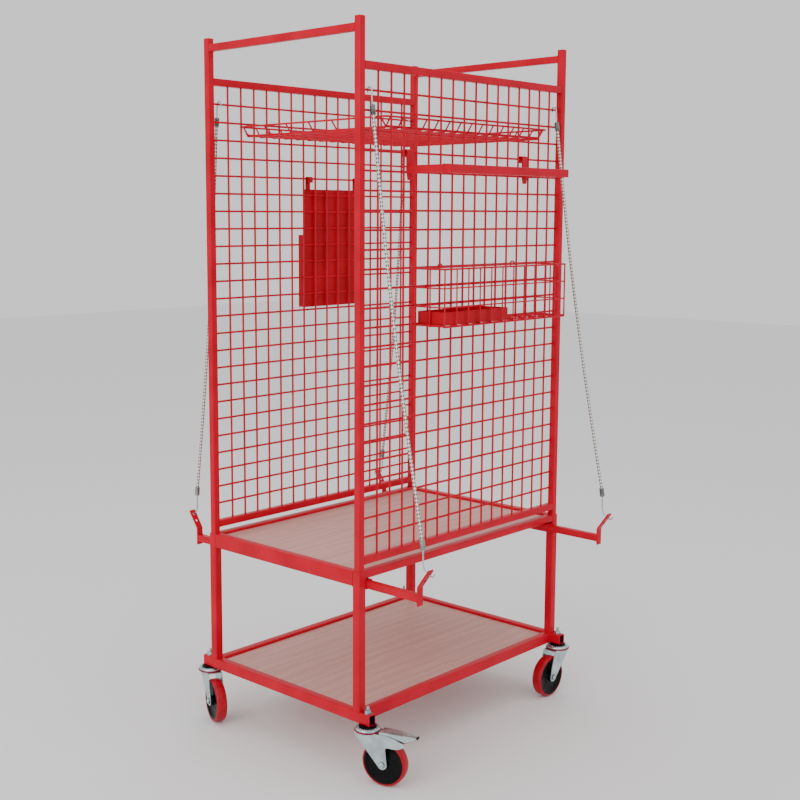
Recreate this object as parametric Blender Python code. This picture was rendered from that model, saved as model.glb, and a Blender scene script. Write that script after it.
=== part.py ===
"""Mesh-sided parts trolley on four swivel casters, one object per node, in metres with +Z up.

Left and right are the -X and +X ends, front and back are the -Y and +Y sides. The floor is z = 0.
"""

import math

import bmesh
import bpy
from mathutils import Matrix, Vector

GAP = 0.0003  # clearance left between pieces that touch

# Main frame
LENGTH_CC = 0.880  # between post axes, along X
WIDTH_CC = 0.580  # between post axes, along Y
LEG = 0.025  # square tube of the legs and of the deck rails
POST = 0.020  # square tube of the upper cage
WALL = 0.002
LOW_BOTTOM = 0.155  # underside of the lower frame, and so the height of a caster
LOW_TALL = 0.030
LOW_OVERHANG = 0.048  # the lower cross rails end this far past the leg axes
DECK_TOP = 0.565
LONG_RAIL_TALL = 0.020
SHORT_RAIL_TALL = 0.040
POST_TOP = 1.980
SPIGOT = 0.060  # length of a post inside its leg
PLY = 0.012
PLY_RECESS = 0.008
BEARER_X = 0.220  # the flat bars under the lower deck, from the middle
BEARER_WIDE = 0.040
HANDLE_MID = 1.953

# Mesh panels: every second wire of the 50 mm mesh, and each row that something hangs on
PANEL_BOTTOM = 0.582
MESH_TALL = 1.250
PANEL_RAIL = 0.020
BAR = 0.0056
CELL = 0.050
WIRE_SPOTS = (-7.5, -5.5, -3.5, -1.5, 0.5, 2.5, 4.5, 6.5)  # cells from the middle of the panel
ROWS = {"front": (1, 3, 4, 5, 7, 9, 10, 11, 13, 15, 17, 19, 21, 23),
        "back": (1, 3, 5, 7, 9, 11, 13, 15, 17, 19, 21, 23)}  # cells below the top rail

# Pull-out arms
GUIDE = 0.025
ARM = 0.020
ARM_Z = 0.5275  # axis of the arms; their guides are welded to the legs, clear of the deck rails
ARM_REACH = 0.300  # tube length behind the upright
ARM_END_FRONT = 0.475  # distance of the upright's inner face from the middle plane
ARM_END_BACK = 0.391
UPRIGHT_FOOT = 0.508
UPRIGHT_BEND = 0.557
UPRIGHT_WIDE = 0.020
UPRIGHT_THICK = 0.005
TIP_OUT = 0.035
TIP_UP = 0.049
HOLE_RADIUS = 0.0045
HOLE_SHARES = (0.78, 0.42)  # places of the holes along the tilted tip, the first for the hook

# Casters
SWIVEL_OUT = 0.322  # caster axis from the middle plane
WHEEL_RADIUS = 0.0625
WHEEL_WIDE = 0.032
TRAIL = 0.052
RIM_RADIUS = 0.056
AXLE_RADIUS = 0.005
AXLE_HALF = 0.027
CHEEK_INNER = 0.0195
CHEEK_THICK = 0.003
LOBE_RADIUS = 0.014  # rounding of the cheek about the axle
HEAD_RADIUS = 0.034
PEDAL_PIVOT = (0.062, 0.1345)  # along the trail, and up
PEDAL_RISE = 0.0135  # from the pivot to the middle of the foot plate
PEDAL_THICK = 0.003
PEDAL_HEEL = 0.041  # ends of the foot plate along the trail
PEDAL_TIP = 0.146
PEDAL_HALF = 0.018
PIN_RADIUS = 0.005
STEM_RADIUS = 0.006
STUD_RADIUS = 0.0045  # of the threaded end above the nut
RUNNING = 0.00006  # radial clearance of a turning fit
HEADINGS = {"LF": -73.6, "LB": -112.2, "RF": -180.0, "RB": -150.0}  # degrees
BRAKED = ("LF", "RB")

# Elastic cords
CORD_RADIUS = 0.004
HOOK_RADIUS = 0.002
FERRULE_RADIUS = 0.0055
HOOK_ROW = 1.802  # the mesh wire that carries the upper hooks
HOOK_X = 0.405
CORD_SAG = 0.012
CORD_POINTS = 20
FERRULE_LONG = 0.026
SHANK_DROP = 0.036  # from the wire to the upper hook's shank end
LOW_HOOK_RISE = 0.060  # from the arm's hole to the lower hook's shank end

# Hung accessories
RACK_X = (-0.336, 0.377)
RACK_RIM = 1.742
RACK_DEEP = 0.026
HANGER_X = (-0.258, 0.250)
HANGER_OUT = 0.432
HANGER_Z = 1.608
HANGER_TUBE = 0.022
HANGER_ROW = 1.652
POCKET_X = (-0.068, 0.181)
POCKET_Z = (1.210, 1.570)
POCKET_DEEP = 0.026
BASKET_X = (-0.230, 0.320)
BASKET_Z = (1.200, 1.350)
BASKET_DEEP = 0.100
TRAY_X = (-0.225, 0.055)
TRAY_TALL = 0.035

# name: (red, green, blue, roughness, metallic), in linear light
FINISHES = {
    "red_powder_coat": (0.604, 0.001, 0.018, 0.32, 0.0),
    "plywood": (0.515, 0.319, 0.255, 0.55, 0.0),
    "zinc_plate": (0.539, 0.597, 0.638, 0.34, 1.0),
    "black_nylon": (0.003, 0.004, 0.004, 0.38, 0.0),
    "red_polyurethane": (0.539, 0.004, 0.021, 0.40, 0.0),
    "braided_cord": (0.708, 0.680, 0.610, 0.80, 0.0),
}

CORNERS = {"LF": (-1, -1), "LB": (-1, 1), "RF": (1, -1), "RB": (1, 1)}
HALF_X = LENGTH_CC / 2
HALF_Y = WIDTH_CC / 2
LOW_TOP = LOW_BOTTOM + LOW_TALL
PANEL_TOP = PANEL_BOTTOM + MESH_TALL + 2 * PANEL_RAIL
ARM_X = HALF_X - LEG / 2 - GAP - GUIDE / 2


def clear_scene():
    for item in list(bpy.data.objects):
        bpy.data.objects.remove(item, do_unlink=True)


def add_object(name, data):
    item = bpy.data.objects.new(name, data)
    bpy.context.scene.collection.objects.link(item)
    return item


def finish_of(name):
    """The named finish as a material, made the first time it is asked for."""
    material = bpy.data.materials.get(name)
    if material is None:
        red, green, blue, roughness, metallic = FINISHES[name]
        material = bpy.data.materials.new(name)
        material.use_nodes = True
        shader = material.node_tree.nodes["Principled BSDF"]
        shader.inputs["Base Color"].default_value = (red, green, blue, 1.0)
        shader.inputs["Roughness"].default_value = roughness
        shader.inputs["Metallic"].default_value = metallic
    return material


def axis(name, matrix, parent=None):
    """An empty on a joint's axis, for the pieces of a moving body to hang on."""
    return hang(place(add_object(name, None), matrix), parent)


def hang(item, parent):
    """Parents an item, which stays where it is."""
    if parent is not None:
        bpy.context.view_layer.update()
        item.parent = parent
        item.matrix_parent_inverse = parent.matrix_world.inverted()
    return item


def fit(item, finish, parent=None, smooth=False):
    """Gives a finished piece its material, and its joint's axis, or an origin at its own middle."""
    item.data.materials.clear()
    item.data.materials.append(finish_of(finish))
    if smooth:
        item.data.shade_smooth()
        item.data.set_sharp_from_angle(angle=math.radians(35))
    if parent is None:
        middle = Matrix.Translation(sum((Vector(corner) for corner in item.bound_box), Vector()) / 8)
        item.data.transform(middle.inverted())
        return place(item, middle)
    return hang(item, parent)


def from_bmesh(name, shape):
    bmesh.ops.recalc_face_normals(shape, faces=shape.faces)
    mesh = bpy.data.meshes.new(name)
    shape.to_mesh(mesh)
    shape.free()
    return add_object(name, mesh)


def inside(point, box):
    return all(low < value < high for value, (low, high) in zip(point, box))


def blocks(name, add, cut=()):
    """One body made of axis-aligned boxes, each ((x0, x1), (y0, y1), (z0, z1)), less the cut ones."""
    planes = [
        sorted({round(edge, 6) for box in (*add, *cut) for edge in box[axis]})
        for axis in range(3)
    ]
    sizes = [len(line) - 1 for line in planes]

    def solid(cell):
        if any(not 0 <= n < size for n, size in zip(cell, sizes)):
            return False
        middle = [(line[n] + line[n + 1]) / 2 for line, n in zip(planes, cell)]
        return any(inside(middle, b) for b in add) and not any(inside(middle, b) for b in cut)

    filled = {
        (i, j, k)
        for i in range(sizes[0])
        for j in range(sizes[1])
        for k in range(sizes[2])
        if solid((i, j, k))
    }
    shape = bmesh.new()
    made = {}

    def corner(key):
        if key not in made:
            made[key] = shape.verts.new([line[n] for line, n in zip(planes, key)])
        return made[key]

    for cell in sorted(filled):
        for axis in range(3):
            for side in (0, 1):
                beside = list(cell)
                beside[axis] += 1 if side else -1
                if tuple(beside) in filled:
                    continue
                u, v = [a for a in range(3) if a != axis]
                keys = []
                for du, dv in ((0, 0), (1, 0), (1, 1), (0, 1)):
                    key = list(cell)
                    key[axis] += side
                    key[u] += du
                    key[v] += dv
                    keys.append(tuple(key))
                shape.faces.new([corner(key) for key in keys])
    return from_bmesh(name, shape)


def span(middle, size):
    return (middle - size / 2, middle + size / 2)


def shrink(ends, wall):
    return (ends[0] + wall, ends[1] - wall)


def square_tube(name, x, y, z, along, wall=WALL):
    """A rectangular tube open at both ends of the axis named by along."""
    outer = [x, y, z]
    inner = [shrink(ends, wall) for ends in outer]
    inner[along] = (outer[along][0] - 1, outer[along][1] + 1)
    return blocks(name, [tuple(outer)], [tuple(inner)])


def rod(name, points, radii, sides=8):
    """A round bar swept along points, with a radius at each of them and flat ends."""
    points = [Vector(point) for point in points]
    shape = bmesh.new()
    rings = []
    across = None
    for n, point in enumerate(points):
        before = points[max(n - 1, 0)]
        after = points[min(n + 1, len(points) - 1)]
        ahead = (after - before).normalized()
        if across is None:
            across = ahead.orthogonal().normalized()
        across = (across - ahead * across.dot(ahead)).normalized()
        up = ahead.cross(across)
        ring = []
        for side in range(sides):
            turn = math.tau * side / sides
            ring.append(
                shape.verts.new(point + radii[n] * (math.cos(turn) * across + math.sin(turn) * up))
            )
        rings.append(ring)
    for one, two in zip(rings, rings[1:]):
        for side in range(sides):
            other = (side + 1) % sides
            shape.faces.new((one[side], one[other], two[other], two[side]))
    shape.faces.new(rings[0][::-1])
    shape.faces.new(rings[-1])
    return from_bmesh(name, shape)


def spun(name, profile, sides=28):
    """A closed (radius, height) profile turned about Z."""
    shape = bmesh.new()
    rings = []
    for side in range(sides):
        turn = math.tau * side / sides
        rings.append([
            shape.verts.new((r * math.cos(turn), r * math.sin(turn), z)) for r, z in profile
        ])
    for side in range(sides):
        one, two = rings[side], rings[(side + 1) % sides]
        for n in range(len(profile)):
            m = (n + 1) % len(profile)
            shape.faces.new((one[n], one[m], two[m], two[n]))
    return from_bmesh(name, shape)


def prism(name, outline, y0, y1):
    """An (x, z) outline pulled along Y."""
    shape = bmesh.new()
    near = [shape.verts.new((x, y0, z)) for x, z in outline]
    far = [shape.verts.new((x, y1, z)) for x, z in outline]
    shape.faces.new(near)
    shape.faces.new(far[::-1])
    for n in range(len(outline)):
        m = (n + 1) % len(outline)
        shape.faces.new((near[n], far[n], far[m], near[m]))
    return from_bmesh(name, shape)


def combine(base, others, operation):
    """Applies Booleans to base and removes the other objects."""
    for other in others:
        other.hide_render = True
        other.display_type = "WIRE"
        modifier = base.modifiers.new(operation, "BOOLEAN")
        modifier.operation = operation
        modifier.solver = "EXACT"
        modifier.object = other
    bpy.context.view_layer.update()
    graph = bpy.context.evaluated_depsgraph_get()
    mesh = bpy.data.meshes.new_from_object(base.evaluated_get(graph))
    base.modifiers.clear()
    base.data = mesh
    for other in others:
        bpy.data.objects.remove(other, do_unlink=True)
    return base


def place(item, matrix):
    """Moves and turns an item about the world's origin."""
    item.matrix_basis = matrix @ item.matrix_basis
    return item


def lower_frame():
    rail_x = [span(side * HALF_X, LEG) for side in (-1, 1)]
    rail_y = [span(side * HALF_Y, LEG) for side in (-1, 1)]
    z = (LOW_BOTTOM, LOW_TOP)
    reach = HALF_Y + LOW_OVERHANG
    add = [(x, (-reach, reach), z) for x in rail_x]
    add += [((-HALF_X, HALF_X), y, z) for y in rail_y]
    bearer_z = (LOW_BOTTOM + 0.002, LOW_TOP - PLY_RECESS - PLY - 2 * GAP)
    add += [(span(x, BEARER_WIDE), (-HALF_Y, HALF_Y), bearer_z) for x in (-BEARER_X, BEARER_X)]
    cut = [(shrink(x, WALL), (-1, 1), shrink(z, WALL)) for x in rail_x]
    cut += [((-HALF_X, HALF_X), shrink(y, WALL), shrink(z, WALL)) for y in rail_y]
    frame = blocks("lower_frame", add, cut)
    drills = []
    for end, side in CORNERS.values():
        drill = spun_solid(STEM_RADIUS + 0.0006, 0.1, 0.3, 16)
        drills.append(place(drill, Matrix.Translation((end * HALF_X, side * SWIVEL_OUT, 0))))
    return fit(combine(frame, drills, "DIFFERENCE"), "red_powder_coat")


def spun_solid(radius, z0, z1, sides):
    return rod("helper", [(0, 0, z0), (0, 0, z1)], [radius, radius], sides)


def legs_and_posts():
    for corner, (end, side) in CORNERS.items():
        x, y = end * HALF_X, side * HALF_Y
        leg = square_tube(f"leg_{corner}", span(x, LEG), span(y, LEG), (LOW_TOP + GAP, DECK_TOP), 2)
        fit(leg, "red_powder_coat")
        outer = (span(x, POST), span(y, POST), (DECK_TOP - SPIGOT, POST_TOP - 0.004))
        crown = (span(x, POST - 0.005), span(y, POST - 0.005), (POST_TOP - 0.004, POST_TOP))
        bore = (
            shrink(outer[0], WALL),
            shrink(outer[1], WALL),
            (DECK_TOP - SPIGOT - 0.1, POST_TOP - 0.006),
        )
        fit(blocks(f"post_{corner}", [outer, crown], [bore]), "red_powder_coat")


def deck_rails():
    inner_x = HALF_X - LEG / 2 - GAP
    inner_y = HALF_Y - LEG / 2 - GAP
    for word, side in (("front", -1), ("back", 1)):
        z = (DECK_TOP - LONG_RAIL_TALL, DECK_TOP)
        rail = square_tube(f"deck_rail_{word}", (-inner_x, inner_x), span(side * HALF_Y, LEG), z, 0)
        fit(rail, "red_powder_coat")
    for word, end in (("left", -1), ("right", 1)):
        z = (DECK_TOP - SHORT_RAIL_TALL, DECK_TOP)
        rail = square_tube(f"deck_rail_{word}", span(end * HALF_X, LEG), (-inner_y, inner_y), z, 1)
        fit(rail, "red_powder_coat")
        y = (-HALF_Y - LEG / 2, HALF_Y + LEG / 2)
        guide = square_tube(f"arm_guide_{word}", span(end * ARM_X, GUIDE), y, span(ARM_Z, GUIDE), 1)
        fit(guide, "red_powder_coat")


def handles():
    inner = HALF_Y - POST / 2 - GAP
    for word, end in (("left", -1), ("right", 1)):
        x, z = span(end * HALF_X, POST), span(HANDLE_MID, POST)
        fit(square_tube(f"handle_{word}", x, (-inner, inner), z, 1), "red_powder_coat")


def plywood(name, top):
    x = HALF_X - LEG / 2 - GAP
    y = HALF_Y - LEG / 2 - GAP
    return fit(blocks(name, [((-x, x), (-y, y), (top - PLY, top))]), "plywood")


def mesh_panel(word, side):
    """Top and bottom rails with the welded lattice between them, as one body."""
    inner = HALF_X - POST / 2 - GAP
    middle = side * HALF_Y
    mesh_z = PANEL_BOTTOM + PANEL_RAIL
    add = []
    for bottom in (PANEL_BOTTOM, mesh_z + MESH_TALL):
        add.append(((-inner, inner), span(middle, PANEL_RAIL), (bottom, bottom + PANEL_RAIL)))
    for spot in WIRE_SPOTS:
        upright_z = (mesh_z - 0.001, mesh_z + MESH_TALL + 0.001)
        add.append((span(spot * CELL, BAR), span(middle, BAR), upright_z))
    for row in ROWS[word]:
        z = mesh_z + MESH_TALL - row * CELL
        add.append(((-inner, inner), span(middle, BAR), span(z, BAR)))
    bores = []
    for bottom in (PANEL_BOTTOM, mesh_z + MESH_TALL):
        z = shrink((bottom, bottom + PANEL_RAIL), WALL)
        bores.append(((-1, 1), shrink(span(middle, PANEL_RAIL), WALL), z))
    return fit(blocks(f"mesh_panel_{word}", add, bores), "red_powder_coat")


def arm(corner, slide):
    """A sliding square tube with a bent flat upright on its outer end, drilled for a cord hook."""
    end, side = CORNERS[corner]
    reach = ARM_END_FRONT if side < 0 else ARM_END_BACK
    half = ARM / 2
    tube = blocks(
        f"arm_{corner}",
        [((-half, half), (reach - ARM_REACH, reach + 0.001), (-half, half))],
        [((-half + WALL, half - WALL), (0, reach - 0.002), (-half + WALL, half - WALL))],
    )
    outer = reach + UPRIGHT_THICK
    slant = UPRIGHT_THICK * 0.42
    outline = [
        (reach, UPRIGHT_FOOT),
        (outer, UPRIGHT_FOOT),
        (outer, UPRIGHT_BEND - slant),
        (outer + TIP_OUT, UPRIGHT_BEND + TIP_UP - slant),
        (reach + TIP_OUT, UPRIGHT_BEND + TIP_UP + slant),
        (reach, UPRIGHT_BEND + slant),
    ]
    plate = prism("helper", outline, -UPRIGHT_WIDE / 2, UPRIGHT_WIDE / 2)
    place(plate, Matrix.Rotation(math.pi / 2, 4, "Z"))
    place(plate, Matrix.Translation((0, 0, -ARM_Z)))
    combine(tube, [plate], "UNION")
    drills = []
    for along in HOLE_SHARES:
        middle = Vector((0, outer - UPRIGHT_THICK / 2 + TIP_OUT * along, UPRIGHT_BEND + TIP_UP * along))
        middle.z -= ARM_Z
        normal = Vector((0, -TIP_UP, TIP_OUT)).normalized() * 0.02
        drills.append(rod("helper", [middle - normal, middle + normal], [HOLE_RADIUS] * 2, 12))
    combine(tube, drills, "DIFFERENCE")
    if side < 0:
        place(tube, Matrix.Rotation(math.pi, 4, "Z"))
    place(tube, Matrix.Translation((end * ARM_X, 0, ARM_Z)))
    return fit(tube, "red_powder_coat", slide)


def hook_hole(corner):
    """Centre of the arm's outer tip hole."""
    end, side = CORNERS[corner]
    reach = ARM_END_FRONT if side < 0 else ARM_END_BACK
    y = reach + UPRIGHT_THICK / 2 + TIP_OUT * HOLE_SHARES[0]
    return Vector((end * ARM_X, side * y, UPRIGHT_BEND + TIP_UP * HOLE_SHARES[0]))


def cord_set(corner, slide):
    """Upper hook, cord and lower hook of one corner; the lower hook goes with the arm."""
    end, side = CORNERS[corner]
    x = end * HOOK_X
    wire = side * HALF_Y
    swing = 0.0075
    top = []
    for step in range(7):
        turn = math.radians(-35 + step * 215 / 6)
        top.append((x, wire - side * swing * math.cos(turn), HOOK_ROW + swing * math.sin(turn)))
    clip = (x, wire + side * 0.0095, HOOK_ROW - SHANK_DROP)
    middle = hook_hole(corner)
    low = middle + Vector((0, -side * 0.018, LOW_HOOK_RISE))
    start = Vector(clip)
    ahead = (low - start).normalized()
    ferrule_end = start + ahead * FERRULE_LONG
    points = [*top, clip, start + ahead * 0.0005, ferrule_end]
    radii = [HOOK_RADIUS] * 8 + [FERRULE_RADIUS] * 2
    fit(rod(f"cord_hook_top_{corner}", points, radii), "zinc_plate", smooth=True)
    lower = low - ahead * FERRULE_LONG
    cord(corner, ferrule_end + ahead * GAP, lower - ahead * GAP, side)
    normal = Vector((0, -side * TIP_UP, TIP_OUT)).normalized()
    curl = [
        lower,
        low,
        low + ahead * 0.0005,
        middle + normal * 0.020 + Vector((0, 0, 0.004)),
        middle + normal * 0.007,
        middle - normal * 0.007,
        middle - normal * 0.012 + Vector((0, side * 0.005, 0.002)),
        middle - normal * 0.011 + Vector((0, side * 0.011, 0.010)),
    ]
    hook = rod(f"cord_hook_low_{corner}", curl, [FERRULE_RADIUS] * 2 + [HOOK_RADIUS] * 6)
    fit(hook, "zinc_plate", slide, smooth=True)


def cord(corner, begin, end, side):
    """An elastic cord drawn between its two ferrules, sagging a little towards the mesh."""
    data = bpy.data.curves.new(f"cord_{corner}", "CURVE")
    data.dimensions = "3D"
    data.bevel_depth = CORD_RADIUS
    data.bevel_resolution = 2
    data.use_fill_caps = True
    line = data.splines.new("POLY")
    line.points.add(CORD_POINTS - 1)
    for n, spot in enumerate(line.points):
        share = n / (CORD_POINTS - 1)
        point = begin.lerp(end, share) - begin
        point.y -= side * CORD_SAG * math.sin(math.pi * share)
        spot.co = (*point, 1.0)
    item = add_object(f"cord_{corner}", data)
    item.location = begin
    data.materials.append(finish_of("braided_cord"))
    return item


def bore_radius(shaft, sides):
    """Corner radius of a many-sided bore whose flats clear a shaft by RUNNING."""
    return (shaft + RUNNING) / math.cos(math.pi / sides)


def caster_matrix(corner):
    end, side = CORNERS[corner]
    turn = Matrix.Rotation(math.radians(HEADINGS[corner]), 4, "Z")
    return Matrix.Translation((end * HALF_X, side * SWIVEL_OUT, 0)) @ turn


def cheek_outline(braked):
    """One fork cheek, along the trail and up: a lobe round the axle and, on a braked caster, a long ear."""
    outline = [(-0.028, 0.1420), (-0.027, 0.1320)]
    for step in range(7):
        turn = math.radians(206 + step * 146 / 6)
        x = TRAIL + LOBE_RADIUS * math.cos(turn)
        outline.append((x, WHEEL_RADIUS + LOBE_RADIUS * math.sin(turn)))
    if braked:
        outline += [(0.0630, 0.0900), (0.0610, 0.1060), (0.0650, 0.1110), (0.0900, 0.1110)]
        outline += [(0.1000, 0.1130), (0.1180, 0.1230), (0.1130, 0.1290), (0.0900, 0.1370)]
        outline.append((0.0640, 0.1420))
    else:
        outline += [(0.0600, 0.0900), (0.0500, 0.1200), (0.0480, 0.1300), (0.0440, 0.1390)]
        outline.append((0.0360, 0.1420))
    return outline


def yoke(corner, swivel):
    """Swivel head, two cheeks and the axle between them; the wheel trails along local +X."""
    top = LOW_BOTTOM - GAP
    levels = [(0, 0, top - 0.014), (0, 0, top - 0.008), (0, 0, top)]
    head = rod("helper", levels, [HEAD_RADIUS, HEAD_RADIUS, HEAD_RADIUS - 0.007], 24)
    outer = CHEEK_INNER + CHEEK_THICK
    bridge = blocks("helper", [((-0.027, 0.036), (-outer, outer), (0.1365, 0.1425))])
    cheeks = [
        prism("helper", cheek_outline(corner in BRAKED), *sorted((s * CHEEK_INNER, s * outer)))
        for s in (-1, 1)
    ]
    ends = [(TRAIL, -AXLE_HALF, WHEEL_RADIUS), (TRAIL, AXLE_HALF, WHEEL_RADIUS)]
    axle = rod("helper", ends, [AXLE_RADIUS] * 2, 20)
    base = combine(head, [bridge, *cheeks, axle], "UNION")
    base.name = f"caster_yoke_{corner}"
    bore = spun_solid(bore_radius(STEM_RADIUS, 20), 0.10, 0.20, 20)
    place(combine(base, [bore], "DIFFERENCE"), caster_matrix(corner))
    return fit(base, "zinc_plate", swivel, smooth=True)


def stem(corner):
    """Bolt that holds the caster: collar under the head, shank through the rail, nut on top."""
    profile = [
        (0.0095, 0.1290),
        (0.0095, 0.1332),
        (STEM_RADIUS, 0.1332),
        (STEM_RADIUS, LOW_TOP + GAP),
        (0.0095, LOW_TOP + GAP),
        (0.0095, LOW_TOP + 0.0095),
        (STUD_RADIUS, LOW_TOP + 0.0095),
        (STUD_RADIUS, LOW_TOP + 0.0200),
    ]
    points = [(0, 0, z) for _, z in profile]
    radii = [r for r, _ in profile]
    bolt = place(step_rod(f"caster_stem_{corner}", points, radii, 12), caster_matrix(corner))
    return fit(bolt, "zinc_plate", smooth=True)


def step_rod(name, points, radii, sides):
    """A turned bar on a straight line; equal heights make a square shoulder."""
    shape = bmesh.new()
    rings = []
    for (x, y, z), radius in zip(points, radii):
        ring = []
        for side in range(sides):
            turn = math.tau * side / sides
            ring.append(shape.verts.new((x + radius * math.cos(turn), y + radius * math.sin(turn), z)))
        rings.append(ring)
    for one, two in zip(rings, rings[1:]):
        for side in range(sides):
            other = (side + 1) % sides
            shape.faces.new((one[side], one[other], two[other], two[side]))
    shape.faces.new(rings[0][::-1])
    shape.faces.new(rings[-1])
    return from_bmesh(name, shape)


def wheel(corner, spin):
    """Moulded centre, turned about Z and then laid on the axle, with its cast tyre."""
    half = WHEEL_WIDE / 2
    spot = spin.matrix_world.copy()
    bore = bore_radius(AXLE_RADIUS, 20)
    face = half - 0.001
    hub = [
        (bore, -half - 0.002),
        (0.014, -half - 0.002),
        (0.014, -0.009),
        (0.043, -0.009),
        (0.048, -face),
        (RIM_RADIUS - GAP, -face),
        (RIM_RADIUS - GAP, face),
        (0.048, face),
        (0.043, 0.009),
        (0.014, 0.009),
        (0.014, half + 0.002),
        (bore, half + 0.002),
    ]
    centre = place(spun(f"wheel_hub_{corner}", hub, 20), spot)
    fit(centre, "black_nylon", spin, smooth=True)
    tread = [
        (RIM_RADIUS, -half + 0.001),
        (WHEEL_RADIUS - 0.004, -half),
        (WHEEL_RADIUS, -half + 0.006),
        (WHEEL_RADIUS, half - 0.006),
        (WHEEL_RADIUS - 0.004, half),
        (RIM_RADIUS, half - 0.001),
    ]
    tyre = place(spun(f"wheel_tread_{corner}", tread, 32), spot)
    fit(tyre, "red_polyurethane", spin, smooth=True)


def brake_pedal(corner, swivel):
    """Foot lever on a pin tube above the wheel, pointing along the trail."""
    x, z = PEDAL_PIVOT
    pivot = caster_matrix(corner) @ Matrix.Translation((x, 0, z))
    hinge = axis(f"axis_pedal_{corner}", pivot, swivel)
    ends = [(0, -PEDAL_HALF - 0.0008, 0), (0, PEDAL_HALF + 0.0008, 0)]
    pin = rod("helper", ends, [PIN_RADIUS] * 2, 12)
    web = blocks("helper", [((-0.004, 0.004), (-PEDAL_HALF, PEDAL_HALF), (0, PEDAL_RISE))])
    heel, shoulder, tip = PEDAL_HEEL - x, 0.030, PEDAL_TIP - x
    plan = [(heel, -PEDAL_HALF), (shoulder, -PEDAL_HALF), (tip, -0.005)]
    plan += [(along, -across) for along, across in reversed(plan)]
    plate = prism("helper", plan, -PEDAL_THICK / 2, PEDAL_THICK / 2)
    place(plate, Matrix.Translation((0, 0, PEDAL_RISE)) @ Matrix.Rotation(math.pi / 2, 4, "X"))
    lever = combine(pin, [web, plate], "UNION")
    lever.name = f"brake_pedal_{corner}"
    return fit(place(lever, pivot), "zinc_plate", hinge)


def rack():
    """Shallow wire tray that spans between the two panels."""
    wire = 0.005
    y = HALF_Y - 0.006
    base = RACK_RIM - RACK_DEEP
    x0, x1 = RACK_X
    steps = 6
    xs = [x0 + wire / 2 + (x1 - x0 - wire) * n / steps for n in range(steps + 1)]
    ys = [-y + wire / 2 + (2 * y - wire) * n / 4 for n in range(5)]
    add = []
    for level in (RACK_RIM, base):
        add += [((x0, x1), span(v, wire), span(level, wire)) for v in (ys[0], ys[-1])]
        add += [(span(v, wire), (-y, y), span(level, wire)) for v in (xs[0], xs[-1])]
    add += [(span(v, wire), (-y, y), span(base, wire)) for v in xs[1:-1]]
    add += [((x0, x1), span(v, wire), span(base, wire)) for v in ys[1:-1]]
    rise = (base, RACK_RIM)
    add += [(span(u, wire), span(v, wire), rise) for u in xs for v in (ys[0], ys[-1])]
    add += [(span(u, wire), span(v, wire), rise) for u in (xs[0], xs[-1]) for v in ys[1:-1]]
    return fit(blocks("wire_rack", add), "red_powder_coat")


def hanger():
    """U-shaped tube held out from the front panel by a hooked plate at each end."""
    z = span(HANGER_Z, HANGER_TUBE)
    bars = [(span(x, HANGER_TUBE), (-HANGER_OUT, -0.296), z) for x in HANGER_X]
    x0, x1 = HANGER_X
    outer = (x0 - HANGER_TUBE / 2, x1 + HANGER_TUBE / 2)
    across = (outer, (-HANGER_OUT - HANGER_TUBE / 2, -HANGER_OUT + HANGER_TUBE / 2), z)
    cut = [(shrink(b[0], WALL), (-HANGER_OUT, -0.2), shrink(z, WALL)) for b in bars]
    cut.append((shrink(across[0], WALL), shrink(across[1], WALL), shrink(z, WALL)))
    add = [*bars, across]
    for x in HANGER_X:
        width = span(x, 0.024)
        add.append((width, (-0.300, -0.2965), (1.581, HANGER_ROW + 0.009)))
        add.append((width, (-0.300, -0.2805), (HANGER_ROW + 0.005, HANGER_ROW + 0.009)))
        add.append((width, (-0.2835, -0.2805), (HANGER_ROW - 0.012, HANGER_ROW + 0.009)))
    return fit(blocks("hanging_bar", add, cut), "red_powder_coat")


def pocket():
    """Sheet-metal document pocket hooked over a wire of the back panel, on its outer side."""
    sheet = 0.0015
    x, (z0, z1) = POCKET_X, POCKET_Z
    y0 = HALF_Y + 0.004
    y1 = y0 + POCKET_DEEP
    front_top = z0 + 0.220
    add = [
        (x, (y0, y0 + sheet), (z0, z1)),
        (x, (y1 - sheet, y1), (z0, front_top)),
        (x, (y0, y1), (z0, z0 + sheet)),
        ((x[0], x[0] + sheet), (y0, y1), (z0, front_top)),
        ((x[1] - sheet, x[1]), (y0, y1), (z0, front_top)),
    ]
    hook_top = HOOK_ROW - 0.200 + 0.006
    for start in (x[0] + 0.008, x[1] - 0.032):
        tab = (start, start + 0.020)
        add.append((tab, (y0, y0 + sheet), (z1 - 0.01, hook_top)))
        add.append((tab, (HALF_Y - 0.008, y0 + sheet), (hook_top - sheet, hook_top)))
        add.append((tab, (HALF_Y - 0.008, HALF_Y - 0.008 + sheet), (hook_top - 0.018, hook_top)))
    return fit(blocks("document_pocket", add), "red_powder_coat")


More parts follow.
